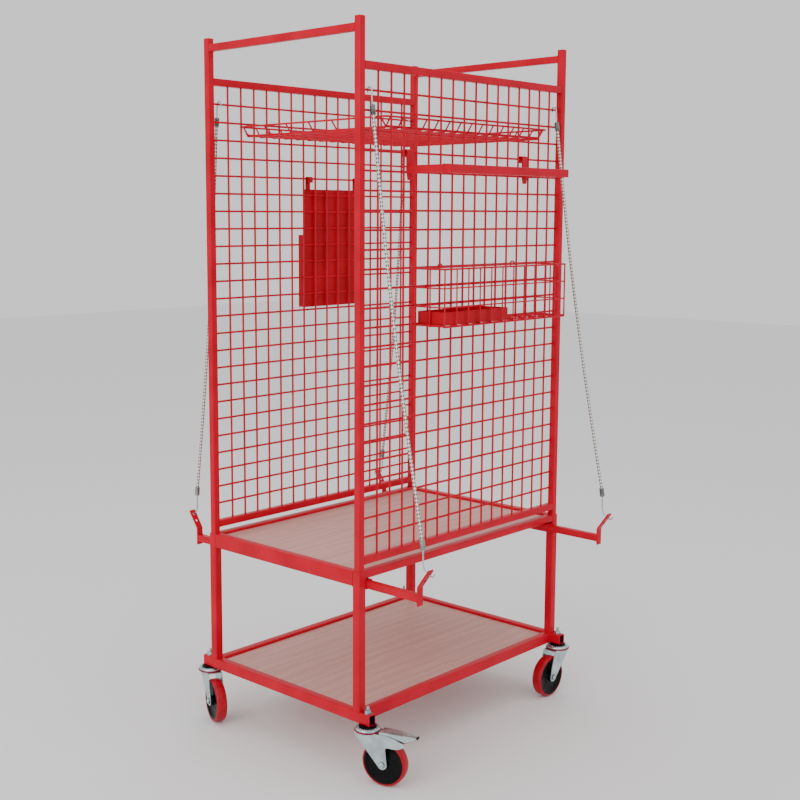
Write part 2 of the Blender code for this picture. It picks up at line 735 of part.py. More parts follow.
def basket():
    """Wire basket hung on the outer side of the front panel."""
    wire = 0.004
    x0, x1 = BASKET_X
    z0, z1 = BASKET_Z
    back = -HALF_Y - 0.006
    front = back - BASKET_DEEP
    xs = [x0 + (x1 - x0) * n / 5 for n in range(6)]
    ys = [front, front + BASKET_DEEP / 2, back]
    zs = [z0 + (z1 - z0) * n / 3 for n in range(4)]
    wide, deep = (x0 - wire / 2, x1 + wire / 2), (front - wire / 2, back + wire / 2)
    tall = (z0 - wire / 2, z1 + wire / 2)
    add = [(wide, span(v, wire), span(w, wire)) for v in (front, back) for w in zs]
    add += [(wide, span(ys[1], wire), span(z0, wire))]
    add += [(span(u, wire), span(v, wire), tall) for u in xs for v in (front, back)]
    add += [(span(u, wire), deep, span(z0, wire)) for u in xs]
    add += [(span(u, wire), deep, span(w, wire)) for u in (x0, x1) for w in zs[1:]]
    add += [(span(u, wire), span(ys[1], wire), tall) for u in (x0, x1)]
    for u in (xs[1], xs[4]):
        hook_y = -HALF_Y + 0.0065
        add.append((span(u, wire), (back, hook_y + wire / 2), (z1 + 0.0065, z1 + 0.0105)))
        add.append((span(u, wire), span(back, wire), (z1, z1 + 0.0105)))
        add.append((span(u, wire), span(hook_y, wire), (z1 - 0.008, z1 + 0.0105)))
    return fit(blocks("mesh_basket", add), "red_powder_coat")


def tray():
    """Loose sheet-metal tray that sits on the basket floor."""
    sheet = 0.0015
    x = TRAY_X
    y = (-HALF_Y - 0.006 - BASKET_DEEP + 0.004, -HALF_Y - 0.006 - 0.004)
    z0 = BASKET_Z[0] + 0.002 + GAP
    z = (z0, z0 + TRAY_TALL)
    hollow = (shrink(x, sheet), shrink(y, sheet), (z0 + sheet, z0 + 1))
    return fit(blocks("basket_tray", [(x, y, z)], [hollow]), "red_powder_coat")


def main():
    clear_scene()
    lower_frame()
    legs_and_posts()
    deck_rails()
    handles()
    plywood("deck_lower", LOW_TOP - PLY_RECESS - GAP)
    plywood("deck_upper", DECK_TOP - PLY_RECESS)
    mesh_panel("front", -1)
    mesh_panel("back", 1)
    for corner in CORNERS:
        end, side = CORNERS[corner]
        slide = axis(f"axis_arm_{corner}", Matrix.Translation((end * ARM_X, side * HALF_Y, ARM_Z)))
        arm(corner, slide)
        cord_set(corner, slide)
        swivel = axis(f"axis_swivel_{corner}", caster_matrix(corner))
        yoke(corner, swivel)
        stem(corner)
        lie = Matrix.Translation((TRAIL, 0, WHEEL_RADIUS)) @ Matrix.Rotation(math.pi / 2, 4, "X")
        spin = axis(f"axis_wheel_{corner}", caster_matrix(corner) @ lie, swivel)
        bpy.context.view_layer.update()
        wheel(corner, spin)
        if corner in BRAKED:
            brake_pedal(corner, swivel)
    rack()
    hanger()
    pocket()
    basket()
    tray()


main()
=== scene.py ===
"""Mesh-sided parts trolley with pull-out arms, dressed for display.

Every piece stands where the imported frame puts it, in metres, with +Z up. The left and right
ends are -X and +X, the front and back sides are -Y and +Y, and the floor is z = 0.
"""

import logging
import math
from dataclasses import dataclass, field
from enum import Enum
from typing import Any, Iterable, Sequence

import bmesh
import bpy
from mathutils import Matrix, Vector


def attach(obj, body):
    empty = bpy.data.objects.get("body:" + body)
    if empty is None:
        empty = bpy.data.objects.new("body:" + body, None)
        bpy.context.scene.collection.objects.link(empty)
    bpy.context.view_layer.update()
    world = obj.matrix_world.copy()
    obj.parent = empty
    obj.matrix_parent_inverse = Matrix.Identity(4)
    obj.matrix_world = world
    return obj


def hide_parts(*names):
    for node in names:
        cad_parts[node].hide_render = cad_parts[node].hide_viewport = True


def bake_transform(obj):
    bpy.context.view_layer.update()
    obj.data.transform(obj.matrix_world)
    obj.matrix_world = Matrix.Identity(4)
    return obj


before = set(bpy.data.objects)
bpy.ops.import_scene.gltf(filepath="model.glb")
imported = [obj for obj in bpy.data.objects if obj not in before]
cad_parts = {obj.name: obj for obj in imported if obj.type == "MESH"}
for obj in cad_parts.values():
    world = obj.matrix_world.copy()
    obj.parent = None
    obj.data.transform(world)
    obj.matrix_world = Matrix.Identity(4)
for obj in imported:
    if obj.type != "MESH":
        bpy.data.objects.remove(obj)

log = logging.getLogger("trolley")
Point = Sequence[float]

HALF_X = 0.440  # post axes from the middle, along X
HALF_Y = 0.290  # post axes from the middle, along Y
GAP = 0.0003  # air between pieces that are welded or pressed together
ARM_X = 0.4147  # arm axes from the middle, along X
ARM_Z = 0.5275  # height of the arm axes
ARM_PLATE = 0.005  # thickness of the flat bar on an arm
TIP_BEND = 0.557  # height where the flat bar bends outwards
TIP_OUT = 0.035  # how far the bent tip runs outwards
TIP_UP = 0.049  # how far the bent tip rises
HOLE_SHARES = (0.78, 0.42)  # places of the two holes along the tip, the cord's own first
PITCH = 0.050  # from wire to wire of the welded mesh
SHARP = math.radians(38)  # edges above this angle stay sharp
QUARTER = Matrix.Rotation(math.pi / 2, 4, "X")  # lays a local Z axis along -Y


class Corner(Enum):
    """The four corners: signs along X and Y, body ending, caster heading in degrees, brake or none."""

    LF = (-1, -1, "left_front", -73.6, True)
    LB = (-1, 1, "left_back", -112.2, False)
    RF = (1, -1, "right_front", -180.0, False)
    RB = (1, 1, "right_back", -150.0, True)

    def __init__(self, end: int, side: int, body: str, heading: float, braked: bool) -> None:
        """Names the corner's values.

        Args:
            end: -1 at the left end, 1 at the right end.
            side: -1 at the front, 1 at the back.
            body: The ending of its body names.
            heading: The way its wheel trails, in degrees from +X.
            braked: Whether its caster has a brake.
        """
        self.end, self.side, self.body, self.heading, self.braked = end, side, body, heading, braked

    @property
    def reach(self) -> float:
        """Where the arm's tube ends, from the middle along Y."""
        return 0.475 if self.side < 0 else 0.391

    def tip_hole(self, share: float) -> Vector:
        """Middle of the hole at this share of the arm's bent tip."""
        y = self.reach + ARM_PLATE / 2 + TIP_OUT * share
        return Vector((self.end * ARM_X, self.side * y, TIP_BEND + TIP_UP * share))


class Mouth(Enum):
    """How a tube ends."""

    CLOSED = "closed"
    OPEN = "open"
    THROUGH = "through"


# ---------------------------------------------------------------- finishes


def srgb(code: str) -> tuple[float, float, float, float]:
    """Turns an sRGB hex colour into linear light.

    Args:
        code: Six hex digits after a hash sign.

    Returns:
        Red, green, blue and an alpha of one.
    """
    parts = [int(code[n : n + 2], 16) / 255 for n in (1, 3, 5)]
    linear = [p / 12.92 if p <= 0.04045 else ((p + 0.055) / 1.055) ** 2.4 for p in parts]
    return (linear[0], linear[1], linear[2], 1.0)


def add_node(
    tree: bpy.types.NodeTree,
    kind: str,
    settings: dict[str, Any] | None = None,
    inputs: dict[Any, Any] | None = None,
    stops: Sequence[tuple[float, str]] = (),
) -> bpy.types.Node:
    """Adds one node with its settings, values and links.

    Args:
        tree: The node tree it goes into.
        kind: The node's type name.
        settings: Attributes of the node.
        inputs: Input socket name or number, to a value or to the output socket that feeds it.
        stops: Positions and hex colours of its colour ramp, the two ends first.

    Returns:
        The new node.
    """
    node = tree.nodes.new(kind)
    for name, value in (settings or {}).items():
        setattr(node, name, value)
    for key, value in (inputs or {}).items():
        if isinstance(value, bpy.types.NodeSocket):
            tree.links.new(value, node.inputs[key])
        else:
            node.inputs[key].default_value = value
    for n, (place, code) in enumerate(stops):
        elements = node.color_ramp.elements
        element = elements[n] if n < 2 else elements.new(place)
        element.position, element.color = place, srgb(code)
    return node


@dataclass(frozen=True)
class Finish:
    """A surface: what it is made of, and how it takes the light."""

    name: str
    colour: str
    roughness: float
    metallic: float = 0.0

    def start(self) -> tuple[Any, ...]:
        """Makes the material with its plain values set.

        Returns:
            The material, its tree, its shader and the Object coordinate output.
        """
        material = bpy.data.materials.new(self.name)
        material.use_nodes = True
        tree = material.node_tree
        shader = tree.nodes["Principled BSDF"]
        shader.inputs["Base Color"].default_value = srgb(self.colour)
        shader.inputs["Roughness"].default_value = self.roughness
        shader.inputs["Metallic"].default_value = self.metallic
        place = add_node(tree, "ShaderNodeTexCoord").outputs["Object"]
        return material, tree, shader, place


@dataclass(frozen=True)
class CloudyFinish(Finish):
    """A finish with cloudy colour, uneven gloss and a fine texture."""

    dark: str = "#FFFFFF"
    light: str = "#FFFFFF"
    patch: float = 0.030  # size of a colour cloud
    rough: tuple[float, float] = (0.3, 0.4)
    grain: float = 0.002  # size of a bump of the texture
    depth: float = 0.0001  # height of the texture
    specular: float = 0.5

    def build(self) -> bpy.types.Material:
        """Makes the material."""
        material, tree, shader, place = self.start()
        cloud = add_node(
            tree, "ShaderNodeTexNoise", inputs={"Vector": place, "Scale": 1 / self.patch, "Detail": 3.0}
        )
        stops = [(0.32, self.dark), (0.68, self.light)]
        colour = add_node(tree, "ShaderNodeValToRGB", inputs={"Fac": cloud.outputs["Fac"]}, stops=stops)
        tree.links.new(colour.outputs["Color"], shader.inputs["Base Color"])
        low, high = self.rough
        gloss = {
            "Value": cloud.outputs["Fac"], "From Min": 0.3, "From Max": 0.7, "To Min": low, "To Max": high
        }
        spread = add_node(tree, "ShaderNodeMapRange", inputs=gloss)
        tree.links.new(spread.outputs["Result"], shader.inputs["Roughness"])
        fine = add_node(
            tree, "ShaderNodeTexNoise", inputs={"Vector": place, "Scale": 1 / self.grain, "Detail": 2.0}
        )
        relief = {"Height": fine.outputs["Fac"], "Distance": self.depth, "Strength": 0.6}
        bump = add_node(tree, "ShaderNodeBump", inputs=relief)
        tree.links.new(bump.outputs["Normal"], shader.inputs["Normal"])
        shader.inputs["Specular IOR Level"].default_value = self.specular
        return material


@dataclass(frozen=True)
class PowderCoat(CloudyFinish):
    """Baked polyester powder over steel: an even, glossy skin with a slight orange peel."""

    dark: str = "#BE0020"
    light: str = "#D0002A"
    patch: float = 0.090
    rough: tuple[float, float] = (0.30, 0.44)
    grain: float = 0.0022  # a real peel is about 1 mm across; drawn coarser so that it shows
    depth: float = 0.00012
    specular: float = 0.14


@dataclass(frozen=True)
class ZincPlate(CloudyFinish):
    """Zinc-plated pressed steel: a bluish, softly mirroring metal with cloudy patches."""

    dark: str = "#A3B6BA"
    light: str = "#C9D8DA"
    rough: tuple[float, float] = (0.26, 0.40)
    grain: float = 0.0018
    depth: float = 0.00005


@dataclass(frozen=True)
class MouldedNylon(CloudyFinish):
    """Glass-filled nylon out of a mould: nearly black, satin, with a spark-eroded grain."""

    dark: str = "#030405"
    light: str = "#0B0D0D"
    patch: float = 0.020
    rough: tuple[float, float] = (0.26, 0.38)
    grain: float = 0.0012
    depth: float = 0.00008
    specular: float = 0.14


@dataclass(frozen=True)
class CastPolyurethane(CloudyFinish):
    """Cast polyurethane tyre: a waxy crimson that scuffs to a duller, paler tone."""

    dark: str = "#9E0016"
    light: str = "#BA0424"
    patch: float = 0.011
    rough: tuple[float, float] = (0.30, 0.52)
    grain: float = 0.0016
    depth: float = 0.00010
    specular: float = 0.25

    def build(self) -> bpy.types.Material:
        """Makes the material, with a little light passing under its skin."""
        material = super().build()
        shader = material.node_tree.nodes["Principled BSDF"]
        shader.inputs["Subsurface Weight"].default_value = 0.05
        shader.inputs["Subsurface Radius"].default_value = (0.004, 0.001, 0.001)
        return material


@dataclass(frozen=True)
class FloorPaint(CloudyFinish):
    """Matt studio floor paint, with barely any tone of its own."""

    dark: str = "#F2F2F2"
    light: str = "#F2F2F2"
    patch: float = 0.8
    rough: tuple[float, float] = (0.75, 0.85)
    grain: float = 0.010
    depth: float = 0.00010


@dataclass(frozen=True)
class PlywoodFace(Finish):
    """Rotary-cut birch face veneer under a matt varnish: long pale streaks with short dark pores."""

    dark: str = "#BE8F84"
    middle: str = "#CF9F95"
    light: str = "#DBB0A7"
    streak: float = 0.0035  # width of a growth streak
    run: float = 0.140  # length of a growth streak

    def build(self) -> bpy.types.Material:
        """Makes the material."""
        material, tree, shader, place = self.start()
        along = add_node(
            tree, "ShaderNodeMapping",
            inputs={"Vector": place, "Scale": (1 / self.run, 1 / self.streak, 1 / self.streak)}
        )
        streaks = add_node(
            tree,
            "ShaderNodeTexNoise",
            inputs={
                "Vector": along.outputs["Vector"], "Scale": 0.7, "Detail": 6.0, "Roughness": 0.62,
                "Distortion": 0.25
            },
        )
        broad = add_node(tree, "ShaderNodeMapping", inputs={"Vector": place, "Scale": (2.2, 14.0, 14.0)})
        flame = add_node(
            tree,
            "ShaderNodeTexWave",
            {"bands_direction": "Y"},
            {
                "Vector": broad.outputs["Vector"], "Scale": 0.55, "Distortion": 7.0, "Detail": 3.0,
                "Detail Scale": 1.2
            },
        )
        mixed = add_node(
            tree,
            "ShaderNodeMix",
            inputs={0: 0.10, 2: streaks.outputs["Fac"], 3: flame.outputs["Fac"]},
        )
        stops = [(0.28, self.dark), (0.74, self.light), (0.50, self.middle)]
        colour = add_node(tree, "ShaderNodeValToRGB", inputs={"Fac": mixed.outputs[0]}, stops=stops)
        pores = add_node(
            tree, "ShaderNodeMapping",
            inputs={"Vector": place, "Scale": (1 / 0.012, 1 / 0.0011, 1 / 0.0011)}
        )
        dots = add_node(
            tree, "ShaderNodeTexNoise",
            inputs={"Vector": pores.outputs["Vector"], "Scale": 1.0, "Detail": 1.0}
        )
        speck = add_node(
            tree,
            "ShaderNodeMapRange",
            inputs={
                "Value": dots.outputs["Fac"], "From Min": 0.28, "From Max": 0.38, "To Min": 0.72,
                "To Max": 1.0
            },
        )
        shade = add_node(
            tree,
            "ShaderNodeVectorMath",
            {"operation": "MULTIPLY"},
            {0: colour.outputs["Color"], 1: speck.outputs["Result"]},
        )
        tree.links.new(shade.outputs["Vector"], shader.inputs["Base Color"])
        bump = add_node(
            tree, "ShaderNodeBump",
            inputs={"Height": streaks.outputs["Fac"], "Distance": 0.00025, "Strength": 0.5}
        )
        tree.links.new(bump.outputs["Normal"], shader.inputs["Normal"])
        return material


@dataclass(frozen=True)
class PlywoodEdge(Finish):
    """Sawn edge of birch plywood: thin plies that turn from pale long grain to dark end grain."""

    pale: str = "#CBAA92"
    dark: str = "#7C5440"
    ply: float = 0.0024  # two plies of 1.2 mm

    def build(self) -> bpy.types.Material:
        """Makes the material."""
        material, tree, shader, place = self.start()
        bands = add_node(
            tree,
            "ShaderNodeTexWave",
            {"bands_direction": "Z"},
            {"Vector": place, "Scale": math.pi / (10 * self.ply), "Distortion": 0.4, "Detail": 2.0},
        )
        stops = [(0.40, self.dark), (0.60, self.pale)]
        colour = add_node(tree, "ShaderNodeValToRGB", inputs={"Fac": bands.outputs["Fac"]}, stops=stops)
        tree.links.new(colour.outputs["Color"], shader.inputs["Base Color"])
        return material


@dataclass(frozen=True)
class BraidedCover(Finish):
    """Polyester braid over rubber: off-white diamonds with dark green tracer strands."""

    strand: str = "#F1EEE6"
    tracer: str = "#141F19"
    # painted shade colour for the low parts of the weave, between the strands
    painted_groove_shade: str = "#B9B5A8"
    turns: float = 4.0  # strands of each hand round the cord
    lay: float = 0.040  # length along the cord of one turn of a strand, drawn long so that it shows

    def build(self) -> bpy.types.Material:
        """Makes the material. The UV map holds turns round the cord and metres along it."""
        material, tree, shader, _ = self.start()
        uv = add_node(tree, "ShaderNodeUVMap", {"uv_map": "UVMap"}).outputs["UV"]
        split = add_node(tree, "ShaderNodeSeparateXYZ", inputs={"Vector": uv})
        pitch = add_node(
            tree, "ShaderNodeMath", {"operation": "DIVIDE"}, {0: split.outputs["Y"], 1: self.lay}
        ).outputs[0]
        waves = []
        for kind in ("ADD", "SUBTRACT"):
            helix = add_node(tree, "ShaderNodeMath", {"operation": kind}, {0: split.outputs["X"], 1: pitch})
            angle = add_node(
                tree, "ShaderNodeMath", {"operation": "MULTIPLY"},
                {0: helix.outputs[0], 1: math.tau * self.turns / 2}
            )
            waves.append(
                add_node(tree, "ShaderNodeMath", {"operation": "SINE"}, {0: angle.outputs[0]}).outputs[0]
            )
        weave = add_node(tree, "ShaderNodeMath", {"operation": "MULTIPLY"}, {0: waves[0], 1: waves[1]})
        relief = add_node(tree, "ShaderNodeMath", {"operation": "ABSOLUTE"}, {0: weave.outputs[0]})
        mark = add_node(
            tree,
            "ShaderNodeMapRange",
            inputs={
                "Value": weave.outputs[0], "From Min": 0.12, "From Max": 0.30, "To Min": 0.0, "To Max": 1.0
            },
        )
        # Painted shade: the weave is coloured darker where its relief is low, between the strands.
        stops = [(0.0, self.painted_groove_shade), (0.18, self.strand)]
        ground = add_node(tree, "ShaderNodeValToRGB", inputs={"Fac": relief.outputs[0]}, stops=stops)
        cover = add_node(
            tree,
            "ShaderNodeMix",
            {"data_type": "RGBA"},
            {0: mark.outputs["Result"], 6: ground.outputs["Color"], 7: srgb(self.tracer)},
        )
        tree.links.new(cover.outputs[2], shader.inputs["Base Color"])
        bump = add_node(
            tree, "ShaderNodeBump", inputs={"Height": relief.outputs[0], "Distance": 0.0006, "Strength": 0.9}
        )
        tree.links.new(bump.outputs["Normal"], shader.inputs["Normal"])
        shader.inputs["Sheen Weight"].default_value = 0.25
        return material


@dataclass
class Finishes:
    """Every finish of the trolley, made once."""

    coat: bpy.types.Material = field(init=False)
    zinc: bpy.types.Material = field(init=False)
    nylon: bpy.types.Material = field(init=False)
    crimp: bpy.types.Material = field(init=False)
    hollow: bpy.types.Material = field(init=False)
    sheet: bpy.types.Material = field(init=False)
    tyre: bpy.types.Material = field(init=False)
    seal: bpy.types.Material = field(init=False)
    veneer: bpy.types.Material = field(init=False)
    plies: bpy.types.Material = field(init=False)
    braid: bpy.types.Material = field(init=False)
    floor: bpy.types.Material = field(init=False)

    def __post_init__(self) -> None:
        """Builds the materials."""
        self.coat = PowderCoat("baked polyester powder coat, signal red", "#C80026", 0.36).build()
        self.zinc = ZincPlate("zinc-plated pressed steel", "#C2CBD1", 0.34, 1.0).build()
        self.nylon = MouldedNylon("moulded black nylon", "#0B0C0D", 0.38).build()
        self.crimp = ZincPlate(
            "crimped steel sleeve, dull", "#7C837F", 0.42, 1.0, "#565D59", "#98A09B"
        ).build()
        # Painted shade: a dark red copy of the powder coat for the inside of open tube ends, standing in for
        # the shade in the recess.
        self.hollow = PowderCoat(
            "powder coat thinning inside a tube", "#3A0410", 0.60, 0.0, "#22030A", "#4A0615"
        ).build()
        # Painted shade: a darker copy of the signal red powder coat, for the document pocket and the small
        # parts tray, which hang in shade.
        self.sheet = PowderCoat(
            "powder coat on folded sheet, deep red", "#B40018", 0.34, 0.0, "#A80016", "#BE001C"
        ).build()
        self.tyre = CastPolyurethane("cast polyurethane, crimson", "#AC021D", 0.40).build()
        self.seal = CastPolyurethane(
            "moulded dust seal, dark crimson", "#860A30", 0.40, 0.0, "#76082C", "#960C38"
        ).build()
        self.veneer = PlywoodFace("birch plywood face, matt varnish", "#CF9F95", 0.55).build()
        self.plies = PlywoodEdge("birch plywood edge, sawn", "#B08A72", 0.70).build()
        self.braid = BraidedCover("braided polyester cord cover", "#F1EEE6", 0.80).build()
        self.floor = FloorPaint("matt studio floor paint", "#F2F2F2", 0.80).build()


# ---------------------------------------------------------------- mesh making


def rounded(points: Iterable[Point], radius: float, steps: int = 4, closed: bool = False) -> list[Vector]:
    """Rounds the corners of a line.

    Args:
        points: The line's points, in two or three dimensions.
        radius: Radius of the rounding, less where a stretch is too short for it.
        steps: Pieces in each rounding.
        closed: Whether the line runs back to its start.

    Returns:
        The rounded line's points.
    """
    line = [Vector(p) for p in points]
    count = len(line)
    out: list[Vector] = []
    for n, corner in enumerate(line):
        if not closed and n in (0, count - 1):
            out.append(corner)
            continue
        back = line[n - 1] - corner
        ahead = line[(n + 1) % count] - corner
        angle = back.angle(ahead)
        if math.pi - angle < 0.02:
            out.append(corner)
            continue
        cut = min(radius / math.tan(angle / 2), back.length * 0.49, ahead.length * 0.49)
        one = corner + back.normalized() * cut
        two = corner + ahead.normalized() * cut
        for step in range(steps + 1):
            t = step / steps
            out.append(one * (1 - t) ** 2 + corner * (2 * t * (1 - t)) + two * t**2)
    return out


def oblong(wide: float, tall: float, radius: float, steps: int = 3) -> list[Vector]:
    """The outline of a rounded rectangle about the origin.

    Args:
        wide: Size along the first axis.
        tall: Size along the second axis.
        radius: Corner radius.
        steps: Pieces in each corner.

    Returns:
        The outline's points, anticlockwise.
    """
    w, t = wide / 2, tall / 2
    return rounded([(-w, -t), (w, -t), (w, t), (-w, t)], radius, steps, True)


def circle(radius: float, sides: int) -> list[Vector]:
    """The outline of a circle about the origin, anticlockwise."""
    return [
        Vector((math.cos(math.tau * n / sides), math.sin(math.tau * n / sides))) * radius
        for n in range(sides)
    ]


def headings(line: Sequence[Vector]) -> list[Vector]:
    """The direction of a line at each of its points, halfway between its two stretches."""
    steps = [(b - a).normalized() for a, b in zip(line, line[1:])]
    return [(a + b).normalized() for a, b in zip(steps[:1] + steps, steps + steps[-1:])]


class Form:
    """Closed shells gathered into one mesh."""

    def __init__(self) -> None:
        """Starts with nothing in it."""
        self.work = bmesh.new()

    def skin(self, rings: Sequence[Sequence[Vector]], slot: int = 0, ring_closed: bool = False) -> list[Any]:
        """Joins rings of points into one closed shell.

        Args:
            rings: Rings with the same number of points, in order.
            slot: Material slot of its faces.
            ring_closed: Whether the last ring joins the first, instead of both being capped.

        Returns:
            Its faces, ring by ring, and then the two caps.
        """
        made = [[self.work.verts.new(p) for p in ring] for ring in rings]
        count = len(made[0])
        pairs = list(zip(made, made[1:]))
        if ring_closed:
            pairs.append((made[-1], made[0]))
        faces = []
        for one, two in pairs:
            for n in range(count):
                m = (n + 1) % count
                faces.append(self.work.faces.new((one[n], one[m], two[m], two[n])))
        if not ring_closed:
            faces.append(self.work.faces.new(made[0][::-1]))
            faces.append(self.work.faces.new(made[-1]))
        for face in faces:
            face.material_index = slot
        return faces

    def bar(
        self,
        start: Point,
        end: Point,
        wide: float,
        tall: float,
        mouths: tuple[Mouth, Mouth] = (Mouth.CLOSED, Mouth.CLOSED),
        corner: float = 0.0028,
        wall: float = 0.002,
        slot: int = 0,
        inside: int = 0,
    ) -> None:
        """A straight square tube with rounded corners.

        Args:
            start: Middle of one end.
            end: Middle of the other end.
            wide: Size along the level side, or along X on an upright.
            tall: Size along the other side, or along Y on an upright.
            mouths: How the two ends look.
            corner: Outer corner radius.
            wall: Wall thickness where an end is open.
            slot: Material slot.
            inside: Material slot of what shows inside an open end, where a dark material stands in as painted
                shade.
        """
        a, b = Vector(start), Vector(end)
        ahead = (b - a).normalized()
        across = Vector((1, 0, 0)) if abs(ahead.z) > 0.9 else Vector((0, 0, 1)).cross(ahead).normalized()
        other = Vector((0, 1, 0)) if abs(ahead.z) > 0.9 else Vector((0, 0, 1))
        edge = 0.0005

        def ring(inset: float, place: Vector) -> list[Vector]:
            outline = oblong(wide - 2 * inset, tall - 2 * inset, max(corner - inset, 0.0006))
            return [place + across * p.x + other * p.y for p in outline]

        if Mouth.THROUGH in mouths:
            rings = [
                ring(wall, a), ring(edge, a), ring(0, a + ahead * edge),
                ring(0, b - ahead * edge), ring(edge, b), ring(wall, b),
            ]
            self.skin(rings, slot, True)
            return
        depth = 0.045
        rings = []
        if mouths[0] is Mouth.OPEN:
            rings += [ring(wall, a + ahead * depth), ring(wall, a + ahead * edge), ring(wall, a)]
        rings += [ring(edge, a), ring(0, a + ahead * edge), ring(0, b - ahead * edge), ring(edge, b)]
        if mouths[1] is Mouth.OPEN:
            rings += [ring(wall, b), ring(wall, b - ahead * edge), ring(wall, b - ahead * depth)]
        faces = self.skin(rings, slot)
        round_count = len(rings[0])
        if mouths[0] is Mouth.OPEN:
            for face in [*faces[:round_count], faces[-2]]:
                face.material_index = inside
        if mouths[1] is Mouth.OPEN:
            for face in [*faces[-2 - round_count : -2], faces[-1]]:
                face.material_index = inside

    def sweep(self, points: Sequence[Point], outline: Sequence[Vector], side: Point, slot: int = 0) -> None:
        """Pulls an outline along a line that lies in one plane.

        Args:
            points: The line.
            outline: The section, its first axis along side.
            side: The direction square to the line's plane.
            slot: Material slot.
        """
        line = [Vector(p) for p in points]
        across = Vector(side).normalized()
        rings = []
        for n, (point, way) in enumerate(zip(line, headings(line))):
            m = min(n, len(line) - 2)
            stretch = 1 / max(0.3, way.dot((line[m + 1] - line[m]).normalized()))
            up = way.cross(across).normalized() * stretch
            rings.append([point + across * p.x + up * p.y for p in outline])
        self.skin(rings, slot)

    def rod(
        self, points: Sequence[Point], radius: float | Sequence[float], sides: int = 12, slot: int = 0
    ) -> None:
        """A round bar along any line, with slightly rounded ends.

        Args:
            points: The line.
            radius: Its radius, or one for each point.
            sides: Faces round it.
            slot: Material slot.
        """
        line = [Vector(p) for p in points]
        radii = [radius] * len(line) if isinstance(radius, (int, float)) else list(radius)
        way = (line[1] - line[0]).normalized()
        across = way.orthogonal().normalized()
        rings = []
        for n, (point, now) in enumerate(zip(line, headings(line))):
            across = (way.rotation_difference(now) @ across).normalized()
            across = (across - now * across.dot(now)).normalized()
            way = now
            other = now.cross(across)
            outline = circle(radii[n], sides)
            if n == 0 or n == len(line) - 1:
                cut = min(radii[n] * 0.3, 0.002)
                small = [point + (across * p.x + other * p.y) * (1 - cut / radii[n]) for p in outline]
                step = now * cut * (1 if n == 0 else -1)
                full = [point + step + across * p.x + other * p.y for p in outline]
                rings += [small, full] if n == 0 else [full, small]
            else:
                rings.append([point + across * p.x + other * p.y for p in outline])
        self.skin(rings, slot)

    def spin(
        self, profile: Sequence[tuple[float, float]], matrix: Matrix | None = None, sides: int = 48,
        slot: int = 0
    ) -> None:
        """Turns a profile round the local Z axis.

        Args:
            profile: (radius, height) points; a profile that doesn't reach the axis becomes a ring.
            matrix: Places the local axis.
            sides: Faces round it.
            slot: Material slot.
        """
        place = matrix or Matrix.Identity(4)
        hollow = profile[0][0] > 1e-6
        line = [p for p in profile if p[0] > 1e-6]
        rings = [[place @ Vector((q.x, q.y, z)) for q in circle(r, sides)] for r, z in line]
        self.skin(rings, slot, hollow)

    def plate(
        self,
        outline: Sequence[Vector],
        low: float,
        high: float,
        matrix: Matrix | None = None,
        edge: float = 0.0004,
        slot: int = 0,
    ) -> None:
        """A flat sheet cut to an outline, with softened edges.

        Args:
            outline: The outline on the local XY plane, anticlockwise.
            low: Lower face along local Z.
            high: Upper face along local Z.
            matrix: Places the local axes.
            edge: Size of the softened edge.
            slot: Material slot.
        """
        place = matrix or Matrix.Identity(4)
        flat = [Vector(p) for p in outline]
        inner = []
        for n, point in enumerate(flat):
            one = (point - flat[n - 1]).normalized()
            two = (flat[(n + 1) % len(flat)] - point).normalized()
            way = one + two
            way = way.normalized() if way.length > 1e-6 else one
            inner.append(point + Vector((-way.y, way.x)) * edge)
        rings = [
            [place @ Vector((p.x, p.y, z)) for p in ring]
            for ring, z in ((inner, low), (flat, low + edge), (flat, high - edge), (inner, high))
        ]
        self.skin(rings, slot)

    def make(
        self, name: str, finishes: Sequence[bpy.types.Material], matrix: Matrix | None = None
    ) -> bpy.types.Object:
        """Turns the shells into an object at the origin.

        Args:
            name: The piece's name.
            finishes: Its materials, by slot.
            matrix: Places the whole piece.

        Returns:
            The object.
        """
        if matrix is not None:
            bmesh.ops.transform(self.work, matrix=matrix, verts=self.work.verts)
        bmesh.ops.recalc_face_normals(self.work, faces=self.work.faces)
        mesh = bpy.data.meshes.new(name)
        self.work.to_mesh(mesh)
        self.work.free()
        for finish in finishes:
            mesh.materials.append(finish)
        return show(name, mesh)


def shade(mesh: bpy.types.Mesh) -> None:
    """Shades a mesh smooth, with its sharp edges kept."""
    mesh.shade_smooth()
    mesh.set_sharp_from_angle(angle=SHARP)


def show(name: str, mesh: bpy.types.Mesh) -> bpy.types.Object:
    """Links a mesh as a smooth-shaded object with its sharp edges kept.

    Args:
        name: The object's name.
        mesh: Its mesh.

    Returns:
        The object.
    """
    shade(mesh)
    piece = bpy.data.objects.new(name, mesh)
    bpy.context.scene.collection.objects.link(piece)
    return piece


def settle(piece: bpy.types.Object, body: str, slot: str, *nodes: str) -> bpy.types.Object:
    """Gives a finished piece its body and hides the CAD nodes that it stands for.

    Args:
        piece: The finished piece.
        body: The body it rides on.
        slot: The record's material slot. Not used.
        nodes: CAD nodes that it replaces.

    Returns:
        The piece.
    """
    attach(piece, body)
    if nodes:
        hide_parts(*nodes)
    log.info("%s: %d faces on %s", piece.name, len(piece.data.polygons), body)
    return piece


